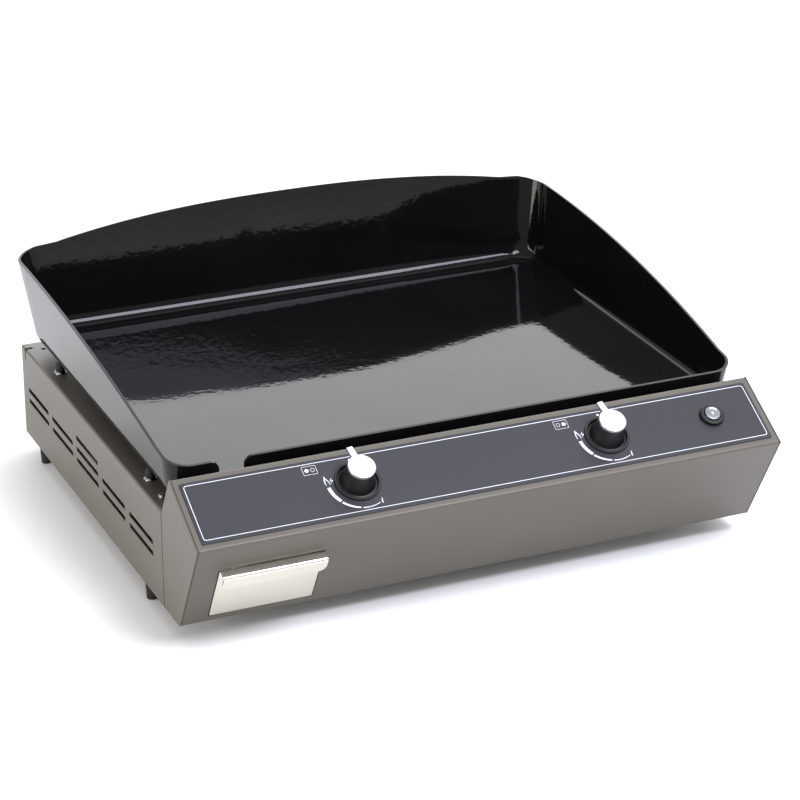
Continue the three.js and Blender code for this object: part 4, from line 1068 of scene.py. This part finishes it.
def brass():
    """Brass bar, turned: warm yellow, fine rings from the tool, a little dulled."""
    finish, tree, shader = new_finish("turned_brass", **{"Metallic": 1.0})
    where = add_node(tree, "ShaderNodeTexCoord").outputs["Object"]
    dull = add_node(tree, "ShaderNodeTexNoise", {"Vector": where, "Scale": 1 / (6 * MM), "Detail": 4.0})
    tone = add_node(tree, "ShaderNodeValToRGB", {"Fac": dull.outputs["Fac"]})
    tone.color_ramp.elements[0].color = linear("#a98443")
    tone.color_ramp.elements[1].color = linear("#c9a560")
    blur = add_node(tree, "ShaderNodeMapRange",
                    {"Value": dull.outputs["Fac"], "To Min": 0.26, "To Max": 0.44})
    tree.links.new(tone.outputs[0], shader.inputs["Base Color"])
    tree.links.new(blur.outputs[0], shader.inputs["Roughness"])
    return finish


inlet_low, inlet_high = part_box("gas_inlet")
inlet_mid = (inlet_low + inlet_high) / 2
inlet_at = Matrix.Translation((inlet_mid.x, casing_high.y, inlet_mid.z))
inlet_at = inlet_at @ Matrix.Rotation(-math.pi / 2, 4, "X")
INLET = [(0, -20), (6, -20), (6, -8.9), (10, -8.9), (10, -1.9), (7, -1.9), (7, 0.6)]
for i in range(INLET_TURNS):
    foot = 1.0 + i * INLET_PITCH
    INLET += [(7, foot + 0.35), (6.2, foot + 0.9), (6.2, foot + 1.1), (7, foot + 1.65)]
INLET += [(6.6, 12.6), (5.6, 13), (5.6, 20), (4.6, 21), (3.5, 21), (3.5, 6), (0, 6)]
turned_brass = brass()
put("threaded_inlet", turned("threaded_inlet", [(r * MM, z * MM) for r, z in INLET], inlet_at, 64),
    turned_brass, "casing", ["gas_inlet"])

# ---- Burners ----
# Two U-shaped burners of stainless tube, each blind at one end and belled at the other to draw in air round
# its jet, with two rows of flame ports along the legs, drawn as dark discs of painted shade in place of
# holes.
BURNER_TUBE = 10.5 * MM
BURNER_BEND = 34 * MM
BURNER_FRONT = 6 * MM  # tube's start behind the bell's mouth
BLIND_SHORT = 36 * MM
PORT = 1.3 * MM
PORT_PITCH = 9 * MM
PORT_LEAN = math.radians(38)


def burner_path(left, mouth, back, height):
    """Centre line from the bell, along the first leg, round the bend and back along the blind leg."""
    bend_y = back - BURNER_BEND - BURNER_TUBE
    start = mouth + BURNER_FRONT
    points = [Vector((left, start + (bend_y - start) * i / 30, height)) for i in range(31)]
    for i in range(1, 24):
        a = math.pi * (1 - i / 24)
        x = left + BURNER_BEND * (1 + math.cos(a))
        points.append(Vector((x, bend_y + BURNER_BEND * math.sin(a), height)))
    end = start + BLIND_SHORT
    points += [Vector((left + 2 * BURNER_BEND, bend_y + (end - bend_y) * i / 30, height)) for i in range(31)]
    return points


def burner_tube(name, line):
    """A tube round the centre line, rounded off at the blind end."""
    columns = []
    across = Vector((0, 0, 1))
    path = [line[0]] + line + [line[-1] + (line[-1] - line[-2]).normalized() * 1.5 * MM] * 2
    sizes = [0.0] + [1.0] * len(line) + [0.75, 0.0]
    for i, (point, size) in enumerate(zip(path, sizes)):
        near = path[max(i - 1, 0)], path[min(i + 1, len(path) - 1)]
        ahead = (near[1] - near[0]).normalized()
        side = ahead.cross(across)
        columns.append([point + (side * math.cos(a) + across * math.sin(a)) * BURNER_TUBE * size
                        for a in (2 * math.pi * k / 32 for k in range(33))])
    return outward(merge_close(grid_mesh(name, columns), 0.01 * MM))


def burner_ports(name, line):
    """Painted shade for the flame ports: thin dark discs set in the tube on both sides of its top, where the
    holes would be.
    """
    verts, faces = [], []
    straight = [(line[i], line[i + 1]) for i in range(len(line) - 1) if abs(line[i].x - line[i + 1].x) < 1e-6]
    runs = {}
    for a, b in straight:
        runs.setdefault(round(a.x, 4), []).extend([a.y, b.y])
    for x, ys in runs.items():
        first, last = min(ys) + 30 * MM, max(ys) - 8 * MM
        count = int((last - first) / PORT_PITCH)
        for i in range(count + 1):
            for lean in (-PORT_LEAN, PORT_LEAN):
                out = Vector((math.sin(lean), 0, math.cos(lean)))
                middle = Vector((x, first + i * PORT_PITCH, line[0].z)) + out * BURNER_TUBE
                up, side = Vector((0, 1, 0)), out.cross(Vector((0, 1, 0)))
                start = len(verts)
                for level in (-0.5 * MM, 0.04 * MM):
                    verts += [middle + out * level + (up * math.cos(a) + side * math.sin(a)) * PORT
                              for a in (2 * math.pi * k / 12 for k in range(12))]
                faces += [tuple(start + k for k in range(12)), tuple(start + 12 + k for k in range(12))]
                faces += [(start + k, start + (k + 1) % 12, start + 12 + (k + 1) % 12, start + 12 + k)
                          for k in range(12)]
    made = bpy.data.meshes.new(name)
    made.from_pydata(verts, [], faces)
    return outward(made)


def bell_profile():
    """(radius, distance from the mouth) of the belled end, hollow for 12 mm."""
    return eased(((0, 12), (8.5, 12), (8.5, 3), (11.2, 0), (12.5, 0.2), (12.5, 4), (9.5, 14), (0, 14)),
                 (0.5, 2.0, 0.6, 0.6, 2.0, 2.0))



def painted_port_shade():
    """Painted shade for a flame port: a near-black matt finish standing in for the shade inside the hole, its
    tone varying at random.
    """
    finish, tree, shader = new_finish("painted_flame_port_shade", **{"Roughness": 0.95})
    where = add_node(tree, "ShaderNodeTexCoord").outputs["Object"]
    bloom = add_node(tree, "ShaderNodeTexNoise", {"Vector": where, "Scale": 1 / (0.8 * MM), "Detail": 2.0})
    tone = add_node(tree, "ShaderNodeValToRGB", {"Fac": bloom.outputs["Fac"]})
    tone.color_ramp.elements[0].color = linear("#040404")
    tone.color_ramp.elements[1].color = linear("#0c0b0a")
    tree.links.new(tone.outputs[0], shader.inputs["Base Color"])
    return finish


# Dark discs of painted shade stand in for the holes of the flame ports.
port_shade_paint = painted_port_shade()
for hand in ("left", "right"):
    low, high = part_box(f"burner_{hand}")
    line = burner_path(low.x + BURNER_TUBE + 2 * MM, low.y, high.y, (low.z + high.z) / 2)
    put(f"burner_tube_{hand}", burner_tube(f"burner_tube_{hand}", line), steel, "casing", [f"burner_{hand}"])
    mouth = Matrix.Translation((line[0].x, low.y, line[0].z)) @ Matrix.Rotation(-math.pi / 2, 4, "X")
    put(f"burner_bell_{hand}", turned(f"burner_bell_{hand}", bell_profile(), mouth, 48), steel, "casing", [])
    # The flame ports are dark discs painted as the shade of holes, not cut through the tube.
    put(f"burner_ports_{hand}", burner_ports(f"burner_ports_{hand}", line), port_shade_paint, "casing", [])

# ---- Pieces kept from the frame ----
# Pressed trays, rails, brackets, valves, pipes, nuts and leads keep the frame's shape. They get softened
# edges and their real finishes.
KEPT_EDGE = 0.3 * MM


def galvanised():
    """Hot-dip galvanised sheet: dull grey zinc in spangles, each of a slightly different grey."""
    finish, tree, shader = new_finish("hot_dip_galvanised_sheet", **{"Metallic": 1.0})
    where = add_node(tree, "ShaderNodeTexCoord").outputs["Object"]
    spangle = add_node(tree, "ShaderNodeTexVoronoi", {"Vector": where, "Scale": 1 / (11 * MM)})
    value = add_node(tree, "ShaderNodeSeparateColor", {"Color": spangle.outputs["Color"]})
    tone = add_node(tree, "ShaderNodeValToRGB", {"Fac": value.outputs[0]})
    tone.color_ramp.elements[0].color = linear("#8f9192")
    tone.color_ramp.elements[1].color = linear("#a6a8a9")
    blur = add_node(tree, "ShaderNodeMapRange", {"Value": value.outputs[1], "To Min": 0.38, "To Max": 0.52})
    tree.links.new(tone.outputs[0], shader.inputs["Base Color"])
    tree.links.new(blur.outputs[0], shader.inputs["Roughness"])
    return finish


def silicone():
    """Silicone sleeving extruded over the ignition leads: matt black, slightly soft looking."""
    finish, tree, shader = new_finish("extruded_silicone_sleeve", **{"Roughness": 0.6, "IOR": 1.43})
    where = add_node(tree, "ShaderNodeTexCoord").outputs["Object"]
    dust = add_node(tree, "ShaderNodeTexNoise", {"Vector": where, "Scale": 1 / (3 * MM), "Detail": 3.0})
    tone = add_node(tree, "ShaderNodeValToRGB", {"Fac": dust.outputs["Fac"]})
    tone.color_ramp.elements[0].color = linear("#101010")
    tone.color_ramp.elements[1].color = linear("#1c1c1b")
    tree.links.new(tone.outputs[0], shader.inputs["Base Color"])
    return finish


def ceramic():
    """Glazed alumina of the spark electrodes: glossy off-white, very slightly speckled."""
    finish, tree, shader = new_finish("glazed_alumina", **{"Roughness": 0.18, "IOR": 1.6})
    where = add_node(tree, "ShaderNodeTexCoord").outputs["Object"]
    speck = add_node(tree, "ShaderNodeTexNoise", {"Vector": where, "Scale": 1 / (0.9 * MM), "Detail": 3.0})
    tone = add_node(tree, "ShaderNodeValToRGB", {"Fac": speck.outputs["Fac"]})
    tone.color_ramp.elements[0].color = linear("#ded8cb")
    tone.color_ramp.elements[1].color = linear("#eeeae0")
    tree.links.new(tone.outputs[0], shader.inputs["Base Color"])
    return finish


kept_finishes = {
    "satin_stainless_steel": steel, "machined_brass": turned_brass, "galvanised_steel": galvanised(),
    "silicone_cable": silicone(), "glazed_ceramic": ceramic(),
}
MADE_ANEW = ("casing_s", "console_", "griddle", "fascia", "knob_b", "knob_c", "igniter_b", "foot_",
             "plate_stud", "gas_inlet", "burner_left", "burner_right", "drawer_front")
for part in frame["record"]["subparts"]:
    if part["node"].startswith(MADE_ANEW):
        continue
    kept = frame["nodes"][part["node"]]
    kept.data.materials.clear()
    kept.data.materials.append(kept_finishes[part["material_slot"]])
    soften(kept, KEPT_EDGE, 2, 35)

low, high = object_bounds()
